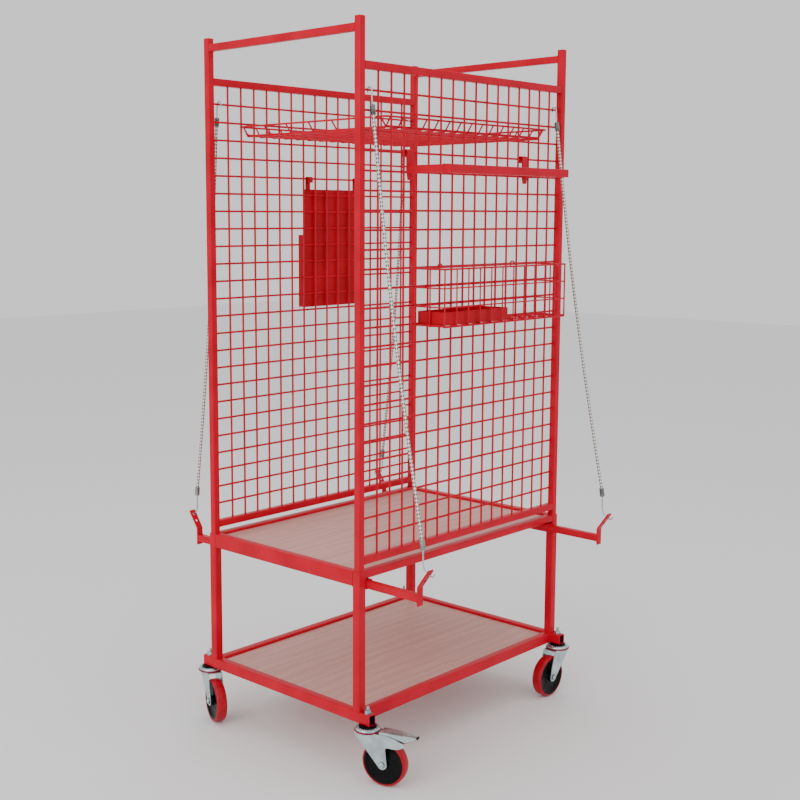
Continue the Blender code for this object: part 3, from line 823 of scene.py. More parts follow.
def drill(piece: bpy.types.Object, cutters: Sequence[tuple[Vector, Vector, float]]) -> bpy.types.Object:
    """Cuts round holes through a piece.

    Args:
        piece: The piece.
        cutters: (start, end, radius) of each hole.

    Returns:
        The piece, with a new mesh.
    """
    form = Form()
    for start, end, radius in cutters:
        form.rod([start, end], radius, 24)
    tool = form.make("drill", [])
    cut = piece.modifiers.new("holes", "BOOLEAN")
    cut.operation = "DIFFERENCE"
    cut.solver = "EXACT"
    cut.object = tool
    bpy.context.view_layer.update()
    graph = bpy.context.evaluated_depsgraph_get()
    mesh = bpy.data.meshes.new_from_object(piece.evaluated_get(graph))
    mesh.name = piece.name
    piece.modifiers.clear()
    piece.data = mesh
    shade(mesh)
    bpy.data.objects.remove(tool, do_unlink=True)
    return piece


# ---------------------------------------------------------------- repeats


class Repeat:
    """A Geometry Nodes tree with named inputs, run once for each set of sizes."""

    def __init__(self, name: str, sockets: dict[str, tuple[str, Any]]) -> None:
        """Starts the tree.

        Args:
            name: The tree's name.
            sockets: Input name, to its socket type and usual value.
        """
        self.tree = bpy.data.node_groups.new(name, "GeometryNodeTree")
        self.names: dict[str, str] = {}
        for label, (kind, value) in sockets.items():
            item = self.tree.interface.new_socket(label, in_out="INPUT", socket_type=kind)
            if value is not None:
                item.default_value = value
            self.names[label] = item.identifier
        self.tree.interface.new_socket("Geometry", in_out="OUTPUT", socket_type="NodeSocketGeometry")
        self.given = add_node(self.tree, "NodeGroupInput").outputs

    def node(
        self, kind: str, settings: dict[str, Any] | None = None, inputs: dict[Any, Any] | None = None
    ) -> Any:
        """Adds a node and gives its outputs."""
        return add_node(self.tree, kind, settings, inputs).outputs

    def close(self, parts: Sequence[bpy.types.NodeSocket]) -> None:
        """Joins the parts, realises them and gives them the Finish material.

        Args:
            parts: Geometry sockets.
        """
        join = add_node(self.tree, "GeometryNodeJoinGeometry")
        for part in parts:
            self.tree.links.new(part, join.inputs[0])
        real = self.node("GeometryNodeRealizeInstances", inputs={"Geometry": join.outputs[0]})
        done = self.node(
            "GeometryNodeSetMaterial", inputs={"Geometry": real[0], "Material": self.given["Finish"]}
        )
        add_node(self.tree, "NodeGroupOutput", inputs={0: done[0]})

    def run(self, values: dict[str, Any]) -> bpy.types.Mesh:
        """Makes a plain mesh with these input values.

        Args:
            values: Input name, to its value.

        Returns:
            The mesh.
        """
        carrier = bpy.data.objects.new("repeat", bpy.data.meshes.new("repeat"))
        bpy.context.scene.collection.objects.link(carrier)
        modifier = carrier.modifiers.new(self.tree.name, "NODES")
        modifier.node_group = self.tree
        for label, value in values.items():
            modifier[self.names[label]] = value
        bpy.context.view_layer.update()
        graph = bpy.context.evaluated_depsgraph_get()
        mesh = bpy.data.meshes.new_from_object(carrier.evaluated_get(graph))
        carrier.modifiers.remove(modifier)
        bpy.data.objects.remove(carrier, do_unlink=True)
        mesh.materials.clear()
        mesh.materials.append(values["Finish"])
        mesh.polygons.foreach_set("material_index", [0] * len(mesh.polygons))
        return mesh


class Lattice(Repeat):
    """Welded wire mesh on the XZ plane: uprights, rows across them and a weld nugget at each crossing."""

    def __init__(self) -> None:
        """Builds the tree."""
        whole, length, vector = "NodeSocketInt", "NodeSocketFloat", "NodeSocketVector"
        super().__init__(
            "welded wire mesh",
            {
                "Wire Radius": (length, 0.0028),
                "Upright Count": (whole, 16),
                "Upright Pitch": (length, 0.050),
                "Upright Low": (vector, (0.0, 0.0, 0.0)),
                "Upright Height": (length, 1.250),
                "Row Count": (whole, 24),
                "Row Pitch": (length, 0.050),
                "Row Low": (vector, (0.0, 0.0, 0.0)),
                "Row Length": (length, 0.860),
                "Nugget Low": (vector, (0.0, 0.0, 0.0)),
                "Finish": ("NodeSocketMaterial", None),
            },
        )
        given = self.given
        ring = self.node(
            "GeometryNodeCurvePrimitiveCircle", inputs={"Resolution": 10, "Radius": given["Wire Radius"]}
        )
        parts = []
        for word, across in (("Upright", False), ("Row", True)):
            size = given["Row Length" if across else "Upright Height"]
            tip = self.node("ShaderNodeCombineXYZ", inputs={"X" if across else "Z": size})
            line = self.node("GeometryNodeCurvePrimitiveLine", inputs={"End": tip[0]})
            wire = self.node(
                "GeometryNodeCurveToMesh",
                inputs={"Curve": line[0], "Profile Curve": ring[0], "Fill Caps": True}
            )
            step = self.node("ShaderNodeCombineXYZ", inputs={"Z" if across else "X": given[f"{word} Pitch"]})
            spots = self.node(
                "GeometryNodeMeshLine",
                inputs={
                    "Count": given[f"{word} Count"], "Start Location": given[f"{word} Low"],
                    "Offset": step[0]
                },
            )
            parts.append(
                self.node("GeometryNodeInstanceOnPoints", inputs={"Points": spots[0], "Instance": wire[0]})[0]
            )
        ball = self.node(
            "GeometryNodeMeshIcoSphere", inputs={"Radius": given["Wire Radius"], "Subdivisions": 1}
        )
        column = self.node(
            "GeometryNodeMeshLine",
            inputs={
                "Count": given["Row Count"],
                "Offset": self.node("ShaderNodeCombineXYZ", inputs={"Z": given["Row Pitch"]})[0],
            },
        )
        stack = self.node(
            "GeometryNodeInstanceOnPoints",
            inputs={"Points": column[0], "Instance": ball[0], "Scale": (1.15, 1.15, 1.15)},
        )
        across = self.node(
            "GeometryNodeMeshLine",
            inputs={
                "Count": given["Upright Count"],
                "Start Location": given["Nugget Low"],
                "Offset": self.node("ShaderNodeCombineXYZ", inputs={"X": given["Upright Pitch"]})[0],
            },
        )
        parts.append(
            self.node("GeometryNodeInstanceOnPoints", inputs={"Points": across[0], "Instance": stack[0]})[0]
        )
        self.close(parts)

    def panel(
        self,
        finish: bpy.types.Material,
        wire: float,
        uprights: tuple[int, float, float, float],
        rows: tuple[int, float, float, float],
        low: tuple[float, float],
    ) -> bpy.types.Mesh:
        """Makes one flat piece of mesh.

        Args:
            finish: Its material.
            wire: Wire radius.
            uprights: Count, pitch, first X and height.
            rows: Count, pitch, first Z and length.
            low: X where the rows start and Z where the uprights start.

        Returns:
            The mesh, on the XZ plane, with the uprights in front of the rows.
        """
        gap = wire * 0.92
        return self.run(
            {
                "Wire Radius": wire,
                "Upright Count": uprights[0],
                "Upright Pitch": uprights[1],
                "Upright Low": (uprights[2], -gap, low[1]),
                "Upright Height": uprights[3],
                "Row Count": rows[0],
                "Row Pitch": rows[1],
                "Row Low": (low[0], gap, rows[2]),
                "Row Length": rows[3],
                "Nugget Low": (uprights[2], 0.0, rows[2]),
                "Finish": finish,
            }
        )


class WeldRing(Repeat):
    """The ripples of a hand-welded seam round the end of a square tube, on the XY plane."""

    def __init__(self) -> None:
        """Builds the tree."""
        length = "NodeSocketFloat"
        super().__init__(
            "weld ripples",
            {
                "Seam Wide": (length, 0.025),
                "Seam Tall": (length, 0.025),
                "Ripple Radius": (length, 0.0016),
                "Ripple Spacing": (length, 0.0022),
                "Seed": ("NodeSocketInt", 7),
                "Finish": ("NodeSocketMaterial", None),
            },
        )
        given = self.given
        seam = self.node(
            "GeometryNodeCurvePrimitiveQuadrilateral",
            inputs={"Width": given["Seam Wide"], "Height": given["Seam Tall"]}
        )
        beads = self.node(
            "GeometryNodeResampleCurve", {"mode": "LENGTH"},
            {"Curve": seam[0], "Length": given["Ripple Spacing"]}
        )
        drop = self.node(
            "GeometryNodeMeshIcoSphere", inputs={"Radius": given["Ripple Radius"], "Subdivisions": 1}
        )
        size = self.node(
            "FunctionNodeRandomValue", {"data_type": "FLOAT"}, {2: 0.8, 3: 1.15, "Seed": given["Seed"]}
        )
        laid = self.node(
            "GeometryNodeInstanceOnPoints", inputs={"Points": beads[0], "Instance": drop[0], "Scale": size[1]}
        )
        self.close([laid[0]])


class Spokes(Repeat):
    """Blades set round an axis, as the ribs of a moulded wheel centre or the balls of a race."""

    def __init__(self) -> None:
        """Builds the tree."""
        length = "NodeSocketFloat"
        super().__init__(
            "blades round an axis",
            {
                "Count": ("NodeSocketInt", 8),
                "Circle Radius": (length, 0.03),
                "Blade": ("NodeSocketObject", None),
                "Finish": ("NodeSocketMaterial", None),
            },
        )
        given = self.given
        round_ = self.node(
            "GeometryNodeMeshCircle", inputs={"Vertices": given["Count"], "Radius": given["Circle Radius"]}
        )
        place = self.node("GeometryNodeInputPosition")
        turn = self.node("FunctionNodeAlignRotationToVector", {"axis": "X"}, {"Vector": place[0]})
        blade = self.node("GeometryNodeObjectInfo", inputs={"Object": given["Blade"]})
        laid = self.node(
            "GeometryNodeInstanceOnPoints",
            inputs={"Points": round_[0], "Instance": blade["Geometry"], "Rotation": turn[0]},
        )
        self.close([laid[0]])

    def set_round(self, blade: Form, count: int, radius: float, finish: bpy.types.Material) -> bpy.types.Mesh:
        """Makes one ring of blades.

        Args:
            blade: The blade's shape, about the origin, pointing outwards along +X.
            count: How many.
            radius: Radius of the circle of their origins.
            finish: Their material.

        Returns:
            The mesh, about the Z axis.
        """
        model = blade.make("blade", [finish])
        mesh = self.run({"Count": count, "Circle Radius": radius, "Blade": model, "Finish": finish})
        bpy.data.objects.remove(model, do_unlink=True)
        return mesh


def merge(
    name: str, form_piece: bpy.types.Object, extras: Sequence[tuple[bpy.types.Mesh, Matrix]]
) -> bpy.types.Object:
    """Adds repeated meshes to a piece that already has their material.

    Args:
        name: The piece's name.
        form_piece: The piece they join.
        extras: Meshes, each with the matrix that places it.

    Returns:
        The piece, with one mesh.
    """
    slots = list(form_piece.data.materials)
    work = bmesh.new()
    work.from_mesh(form_piece.data)
    for mesh, matrix in extras:
        copy = mesh.copy()
        copy.transform(matrix)
        wanted = copy.materials[0] if copy.materials else slots[0]
        if wanted not in slots:
            slots.append(wanted)
        before = len(work.faces)
        work.from_mesh(copy)
        work.faces.ensure_lookup_table()
        for face in work.faces[before:]:
            face.material_index = slots.index(wanted)
        bpy.data.meshes.remove(copy)
    mesh = bpy.data.meshes.new(name)
    work.to_mesh(mesh)
    work.free()
    for material in slots:
        mesh.materials.append(material)
    shade(mesh)
    old = form_piece.data
    form_piece.data = mesh
    bpy.data.meshes.remove(old)
    return form_piece


# ---------------------------------------------------------------- studio


@dataclass
class Studio:
    """Camera, lights and floor."""

    lens: float = 55.6
    eye: tuple[float, float, float] = (-2.73134, -2.44254, 1.48185)
    heading: float = 43.812  # degrees from +X towards +Y
    dip: float = 7.487  # degrees below level
    shift: tuple[float, float] = (0.0668, -0.0240)

    def camera(self) -> None:
        """Sets up the camera."""
        data = bpy.data.cameras.new("studio camera")
        data.lens = self.lens
        data.sensor_width = 36.0
        data.shift_x, data.shift_y = self.shift
        data.clip_end = 60.0
        camera = bpy.data.objects.new("studio camera", data)
        turn, drop = math.radians(self.heading), math.radians(self.dip)
        way = Vector((math.cos(turn) * math.cos(drop), math.sin(turn) * math.cos(drop), -math.sin(drop)))
        camera.location = self.eye
        camera.rotation_euler = way.to_track_quat("-Z", "Y").to_euler()
        bpy.context.scene.collection.objects.link(camera)
        bpy.context.scene.camera = camera

    def lamp(self, name: str, place: Point, aim: Point, size: float, power: float) -> None:
        """Adds one soft square light.

        Args:
            name: Its name.
            place: Where it stands.
            aim: The point it faces.
            size: Side of the square.
            power: Watts.
        """
        data = bpy.data.lights.new(name, "AREA")
        data.shape = "SQUARE"
        data.size = size
        data.energy = power
        lamp = bpy.data.objects.new(name, data)
        lamp.location = place
        lamp.rotation_euler = (Vector(aim) - Vector(place)).to_track_quat("-Z", "Y").to_euler()
        bpy.context.scene.collection.objects.link(lamp)

    def lights(self) -> None:
        """Sets up soft light all round, brightest from the left end."""
        world = bpy.data.worlds.new("studio air")
        world.use_nodes = True
        ground = world.node_tree.nodes["Background"]
        ground.inputs["Color"].default_value = srgb("#FFFFFF")
        ground.inputs["Strength"].default_value = 0.95
        bpy.context.scene.world = world
        self.lamp("left softbox", (-4.2, -0.6, 2.4), (0, 0, 0.9), 2.6, 62)
        self.lamp("front softbox", (-0.6, -4.0, 2.6), (0, 0, 1.0), 2.4, 10)
        self.lamp("overhead softbox", (0.2, 0.4, 4.6), (0, 0, 1.0), 3.0, 34)

    def floor(self, finish: bpy.types.Material) -> None:
        """Lays the floor.

        Args:
            finish: Its material.
        """
        form = Form()
        form.plate([Vector(p) for p in ((-14, -14), (14, -14), (14, 14), (-14, 14))], -0.02, -0.0005)
        form.make("studio floor", [finish])


# ---------------------------------------------------------------- cords


@dataclass
class CordSet:
    """An elastic cord with a hook on the side mesh and a hook in the tip of an arm."""

    finishes: Finishes
    corner: Corner
    cord_radius: float = 0.004
    hook_radius: float = 0.002
    ferrule_radius: float = 0.0072
    ferrule_long: float = 0.026
    hook_row: float = 1.802
    hook_x: float = 0.405
    swing: float = 0.0075
    sag: float = 0.012

    def clip(self) -> Vector:
        """Where the upper hook's shank enters its ferrule."""
        wire = self.corner.side * HALF_Y
        return Vector(
            (self.corner.end * self.hook_x, wire + self.corner.side * 0.0095, self.hook_row - 0.036)
        )

    def low(self) -> Vector:
        """Where the lower hook's shank enters its ferrule."""
        hole = self.corner.tip_hole(HOLE_SHARES[0])
        return Vector((hole.x, hole.y - self.corner.side * 0.018, hole.z + 0.060))

    def ferrule(self, form: Form, start: Vector, ahead: Vector) -> None:
        """Adds a crimped sleeve.

        Args:
            form: What it is added to.
            start: Middle of its hook end.
            ahead: Direction to its cord end.
        """
        long, r = self.ferrule_long, self.ferrule_radius
        turn = ahead.to_track_quat("Z", "Y").to_matrix().to_4x4()
        profile = [(0.0, 0.0), (0.0030, 0.0), (r * 0.86, 0.0012), (r, 0.0028)]
        for notch in (0.30, 0.55, 0.80):
            profile += [(r, long * (notch - 0.06)), (r * 0.84, long * notch), (r, long * (notch + 0.06))]
        profile += [(r, long - 0.0006), (r * 0.92, long), (0.0, long)]
        form.spin(profile, Matrix.Translation(start) @ turn, 24, 1)

    def upper_hook(self) -> bpy.types.Object:
        """Builds the hook over the mesh wire and its ferrule."""
        side = self.corner.side
        x, wire = self.corner.end * self.hook_x, side * HALF_Y
        line = []
        for step in range(15):
            turn = math.radians(-48 + step * 228 / 14)
            line.append(
                (x, wire - side * self.swing * math.cos(turn), self.hook_row + self.swing * math.sin(turn))
            )
        line += [(x, wire + side * 0.0086, self.hook_row - 0.018), tuple(self.clip())]
        ahead = (self.low() - self.clip()).normalized()
        line.append(tuple(self.clip() + ahead * 0.004))
        form = Form()
        form.rod(line, self.hook_radius, 12)
        self.ferrule(form, self.clip(), ahead)
        name = f"upper_hook_{self.corner.name}"
        return settle(
            form.make(name, [self.finishes.zinc, self.finishes.crimp]), "frame", "hook_wire",
            f"cord_hook_top_{self.corner.name}"
        )

    def lower_hook(self) -> bpy.types.Object:
        """Builds the hook through the arm's tip and its ferrule."""
        side = self.corner.side
        ahead = (self.low() - self.clip()).normalized()
        normal = Vector((0, -side * TIP_UP, TIP_OUT)).normalized()
        hole = self.corner.tip_hole(HOLE_SHARES[0])
        line = [
            self.low() - ahead * 0.004,
            self.low(),
            hole + normal * 0.022 + Vector((0, 0, 0.012)),
            hole + normal * 0.016,
            hole + normal * 0.004,
            hole - normal * 0.007,
            hole - normal * 0.012 + Vector((0, side * 0.005, 0.002)),
            hole - normal * 0.011 + Vector((0, side * 0.011, 0.010)),
        ]
        form = Form()
        form.rod(rounded(line, 0.008, 3), self.hook_radius, 12)
        self.ferrule(form, self.low(), -ahead)
        name = f"lower_hook_{self.corner.name}"
        return settle(
            form.make(name, [self.finishes.zinc, self.finishes.crimp]),
            f"arm_{self.corner.body}",
            "hook_wire",
            f"cord_hook_low_{self.corner.name}",
        )

    def route(self) -> list[Vector]:
        """The cord's centre line, sagging a little inwards between its ferrules."""
        ahead = (self.low() - self.clip()).normalized()
        begin = self.clip() + ahead * (self.ferrule_long + GAP)
        finish = self.low() - ahead * (self.ferrule_long + GAP)
        line = []
        for step in range(33):
            share = step / 32
            point = begin.lerp(finish, share)
            point.y -= self.corner.side * self.sag * math.sin(math.pi * share)
            line.append(point)
        return line

    def cord(self, hook: bpy.types.Object) -> None:
        """Args:
            hook: The fitting on its lower end. Not used.
        """
        line = self.route()
        sides = 20
        work = bmesh.new()
        uv = work.loops.layers.uv.new("UVMap")
        way = (line[1] - line[0]).normalized()
        across = way.orthogonal().normalized()
        rings, along = [], [0.0]
        for n, (point, now) in enumerate(zip(line, headings(line))):
            across = (way.rotation_difference(now) @ across).normalized()
            way = now
            other = now.cross(across)
            rings.append(
                [work.verts.new(point + across * p.x + other * p.y) for p in circle(self.cord_radius, sides)]
            )
            if n:
                along.append(along[-1] + (point - line[n - 1]).length)
        for n in range(len(rings) - 1):
            for k in range(sides):
                m = (k + 1) % sides
                face = work.faces.new((rings[n][k], rings[n][m], rings[n + 1][m], rings[n + 1][k]))
                spots = ((k, n), (k + 1, n), (k + 1, n + 1), (k, n + 1))
                for loop, (u, v) in zip(face.loops, spots):
                    loop[uv].uv = (u / sides, along[v])
        work.faces.new(rings[0][::-1])
        work.faces.new(rings[-1])
        bmesh.ops.recalc_face_normals(work, faces=work.faces)
        name = f"braided_cord_{self.corner.name}"
        mesh = bpy.data.meshes.new(name)
        work.to_mesh(mesh)
        work.free()
        mesh.materials.append(self.finishes.braid)
        piece = show(name, mesh)
        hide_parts(f"cord_{self.corner.name}")
        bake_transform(piece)
        log.info("%s: %.3f m long", name, along[-1])

    def build(self) -> None:
        """Builds the whole set."""
        self.upper_hook()
        self.cord(self.lower_hook())


# ---------------------------------------------------------------- frame


@dataclass
class SteelFrame:
    """The welded frame: lower ring, legs, cage posts, deck rails, arm guides and push handles."""

    finishes: Finishes
    welds: WeldRing
    leg: float = 0.025
    post: float = 0.020
    low_bottom: float = 0.155
    low_top: float = 0.185
    overhang: float = 0.048
    deck: float = 0.565
    long_rail: float = 0.020
    short_rail: float = 0.040
    post_top: float = 1.980
    handle_mid: float = 1.953
    bearer_x: float = 0.220
    bearer_wide: float = 0.040
    guide: float = 0.025

    def seam(
        self, middle: Point, facing: str, wide: float, tall: float, seed: int = 1
    ) -> tuple[bpy.types.Mesh, Matrix]:
        """Makes the weld round a tube's end.

        Args:
            middle: Middle of the joint.
            facing: Axis that the tube runs along, X, Y or Z.
            wide: Size of the tube along the first other axis.
            tall: Size of the tube along the second other axis.
            seed: Start of the random ripple sizes.

        Returns:
            The mesh and the matrix that places it.
        """
        turn = {
            "Z": Matrix.Identity(4),
            "Y": QUARTER,
            "X": Matrix.Rotation(math.pi / 2, 4, "Z") @ QUARTER,
        }[facing]
        mesh = self.welds.run(
            {"Seam Wide": wide - 0.001, "Seam Tall": tall - 0.001, "Seed": seed, "Finish": self.finishes.coat}
        )
        return mesh, Matrix.Translation(middle) @ turn

    def lower_ring(self) -> None:
        """Builds the ring that the casters hang from, with its two bearers."""
        form = Form()
        mid = (self.low_bottom + self.low_top) / 2
        tall = self.low_top - self.low_bottom
        reach = HALF_Y + self.overhang
        seams = []
        for end in (-1, 1):
            x = end * HALF_X
            # Painted shade: the open ends show the dark red inner material.
            form.bar((x, -reach, mid), (x, reach, mid), self.leg, tall, (Mouth.OPEN, Mouth.OPEN), inside=1)
            for side in (-1, 1):
                inner = (end * (HALF_X - self.leg / 2), side * HALF_Y, mid)
                seams.append(self.seam(inner, "X", self.leg, tall, 3))
                seams.append(self.seam((x, side * HALF_Y, self.low_top), "Z", self.leg, self.leg, 5))
        for side in (-1, 1):
            y = side * HALF_Y
            form.bar((-HALF_X + 0.012, y, mid), (HALF_X - 0.012, y, mid), self.leg, tall)
            for x in (-self.bearer_x, self.bearer_x):
                foot = (x, side * (HALF_Y - self.leg / 2), self.low_bottom + 0.0075)
                seams.append(self.seam(foot, "Y", self.bearer_wide, 0.012, 9))
        for x in (-self.bearer_x, self.bearer_x):
            z = self.low_bottom + 0.0074
            form.bar((x, -HALF_Y, z), (x, HALF_Y, z), self.bearer_wide, 0.0108, corner=0.001)
        piece = form.make("lower_ring", [self.finishes.coat, self.finishes.hollow])
        settle(merge("lower_ring", piece, seams), "frame", "red_powder_coat", "lower_frame")

    def uprights(self) -> None:
        """Builds the four legs and the four cage posts."""
        for corner in Corner:
            x, y = corner.end * HALF_X, corner.side * HALF_Y
            form = Form()
            form.bar((x, y, self.low_top + GAP), (x, y, self.deck), self.leg, self.leg)
            seams = [self.seam((x, y, self.deck), "Z", self.post, self.post, 2)]
            leg = merge(
                f"leg_tube_{corner.name}", form.make(f"leg_tube_{corner.name}", [self.finishes.coat]), seams
            )
            settle(leg, "frame", "red_powder_coat", f"leg_{corner.name}")
            form = Form()
            form.bar(
                (x, y, self.deck - 0.058), (x, y, self.post_top - 0.003), self.post, self.post,
                corner=0.0022
            )
            cap = [
                [Vector((x + p.x, y + p.y, z)) for p in oblong(self.post + grow, self.post + grow, 0.0024)]
                for grow,
                z in ((-0.001, -0.0034), (0.0, -0.0028), (0.0, -0.0012), (-0.003, 0.0), (-0.012, 0.0))
                for z in (self.post_top + z,)
            ]
            form.skin(cap)
            post = form.make(f"cage_post_{corner.name}", [self.finishes.coat])
            settle(post, "frame", "red_powder_coat", f"post_{corner.name}")

    def tube(
        self, name: str, node: str, ends: tuple[Point, Point], size: Point, facing: str, seed: int,
        corner: float
    ) -> None:
        """Builds one straight tube that is welded at both ends.

        Args:
            name: The piece's name.
            node: The CAD node that it replaces.
            ends: Middles of its two ends.
            size: Its width and height.
            facing: Axis that it runs along.
            seed: Start of the random ripple sizes.
            corner: Outer corner radius.
        """
        form = Form()
        form.bar(*ends, *size, corner=corner)
        seams = [self.seam(end, facing, *size, seed) for end in ends]
        piece = form.make(name, [self.finishes.coat])
        settle(merge(name, piece, seams), "frame", "red_powder_coat", node)

    def deck_rails(self) -> None:
        """Builds the four rails round the upper deck."""
        x, y = HALF_X - self.leg / 2 - GAP, HALF_Y - self.leg / 2 - GAP
        for word, side in (("front", -1), ("back", 1)):
            z = self.deck - self.long_rail / 2
            ends = ((-x, side * HALF_Y, z), (x, side * HALF_Y, z))
            size = (self.leg, self.long_rail)
            self.tube(f"deck_rail_long_{word}", f"deck_rail_{word}", ends, size, "X", 4, 0.0028)
        for word, end in (("left", -1), ("right", 1)):
            z = self.deck - self.short_rail / 2
            ends = ((end * HALF_X, -y, z), (end * HALF_X, y, z))
            size = (self.leg, self.short_rail)
            self.tube(f"deck_rail_short_{word}", f"deck_rail_{word}", ends, size, "Y", 6, 0.0028)

    def guides(self) -> None:
        """Builds the two tubes that the arms slide in."""
        y = HALF_Y + self.leg / 2
        for word, end in (("left", -1), ("right", 1)):
            form = Form()
            x = end * ARM_X
            form.bar(
                (x, -y, ARM_Z), (x, y, ARM_Z), self.guide, self.guide, (Mouth.THROUGH, Mouth.THROUGH),
                corner=0.0030
            )
            piece = form.make(f"arm_guide_tube_{word}", [self.finishes.coat])
            settle(piece, "frame", "red_powder_coat", f"arm_guide_{word}")

    def handles(self) -> None:
        """Builds the two push handles between the post tops."""
        y, z = HALF_Y - self.post / 2 - GAP, self.handle_mid
        for word, end in (("left", -1), ("right", 1)):
            ends = ((end * HALF_X, -y, z), (end * HALF_X, y, z))
            self.tube(f"push_handle_{word}", f"handle_{word}", ends, (self.post, self.post), "Y", 8, 0.0024)

    def build(self) -> None:
        """Builds every tube of the frame."""
        self.lower_ring()
        self.uprights()
        self.deck_rails()
        self.guides()
        self.handles()


@dataclass
class Deck:
    """A plywood deck laid inside its rails, 8 mm below their tops."""

    finishes: Finishes
    name: str
    top: float
    thick: float = 0.012

    def build(self) -> None:
        """Builds the sheet: veneer faces and sawn edges."""
        x, y = HALF_X - 0.0125 - GAP, HALF_Y - 0.0125 - GAP
        form = Form()
        form.plate(oblong(2 * x, 2 * y, 0.002), self.top - self.thick, self.top, edge=0.0005)
        piece = form.make(f"{self.name}_board", [self.finishes.veneer, self.finishes.plies])
        for face in piece.data.polygons:
            face.material_index = 0 if abs(face.normal.z) > 0.5 else 1
        settle(piece, "frame", "plywood", self.name)


@dataclass
class SidePanel:
    """A long side of the cage: two square rails with 50 mm welded wire mesh between them."""

    finishes: Finishes
    lattice: Lattice
    word: str
    side: int
    bottom: float = 0.582
    rail: float = 0.020
    mesh_tall: float = 1.250
    wire: float = 0.0030

    def build(self) -> None:
        """Builds the panel."""
        inner = HALF_X - 0.010 - GAP
        y = self.side * HALF_Y
        form = Form()
        for low in (self.bottom, self.bottom + self.rail + self.mesh_tall):
            z = low + self.rail / 2
            form.bar((-inner, y, z), (inner, y, z), self.rail, self.rail, corner=0.0024)
        name = f"mesh_side_{self.word}"
        piece = form.make(name, [self.finishes.coat])
        low = self.bottom + self.rail
        mesh = self.lattice.panel(
            self.finishes.coat,
            self.wire,
            (16, PITCH, -7.5 * PITCH, self.mesh_tall + 0.002),
            (24, PITCH, low + PITCH, 2 * inner),
            (-inner, low - 0.001),
        )
        settle(
            merge(name, piece, [(mesh, Matrix.Translation((0, y, 0)))]),
            "frame",
            "red_wire",
            f"mesh_panel_{self.word}",
        )


# ---------------------------------------------------------------- arms


@dataclass
class PullOutArm:
    """A square tube that slides in its guide, with a bent flat bar on its outer end."""

    finishes: Finishes
    welds: WeldRing
    corner: Corner
    size: float = 0.020
    long: float = 0.300
    foot: float = 0.508
    wide: float = 0.020
    hole_radius: float = 0.0045

    def build(self) -> None:
        """Builds the arm."""
        side, x, reach = self.corner.side, self.corner.end * ARM_X, self.corner.reach
        form = Form()
        form.bar(
            (x, side * (reach - self.long), ARM_Z), (x, side * (reach + 0.0005), ARM_Z),
            self.size, self.size, (Mouth.OPEN, Mouth.CLOSED), corner=0.0024,
        )
        name = f"pull_arm_{self.corner.name}"
        tube = form.make(name, [self.finishes.coat])
        middle = reach + ARM_PLATE / 2
        line = [
            (x, side * middle, self.foot),
            (x, side * middle, TIP_BEND),
            (x, side * (middle + TIP_OUT), TIP_BEND + TIP_UP),
        ]
        bar = Form()
        bar.sweep(rounded(line, 0.014, 6), oblong(self.wide, ARM_PLATE, 0.0012, 3), (1, 0, 0))
        upright = bar.make("upright", [self.finishes.coat])
        normal = Vector((0, side * TIP_UP, -TIP_OUT)).normalized() * 0.02
        cutters = []
        for share in HOLE_SHARES:
            spot = self.corner.tip_hole(share)
            cutters.append((spot - normal, spot + normal, self.hole_radius))
        upright = drill(upright, cutters)
        ripple = self.welds.run(
            {"Seam Wide": 0.019, "Seam Tall": self.size, "Seed": 11, "Finish": self.finishes.coat}
        )
        stand = Matrix.Translation((x, side * reach, ARM_Z)) @ QUARTER
        piece = merge(name, tube, [(upright.data, Matrix.Identity(4)), (ripple, stand)])
        bpy.data.objects.remove(upright, do_unlink=True)
        settle(piece, f"arm_{self.corner.body}", "red_powder_coat", f"arm_{self.corner.name}")


# ---------------------------------------------------------------- casters


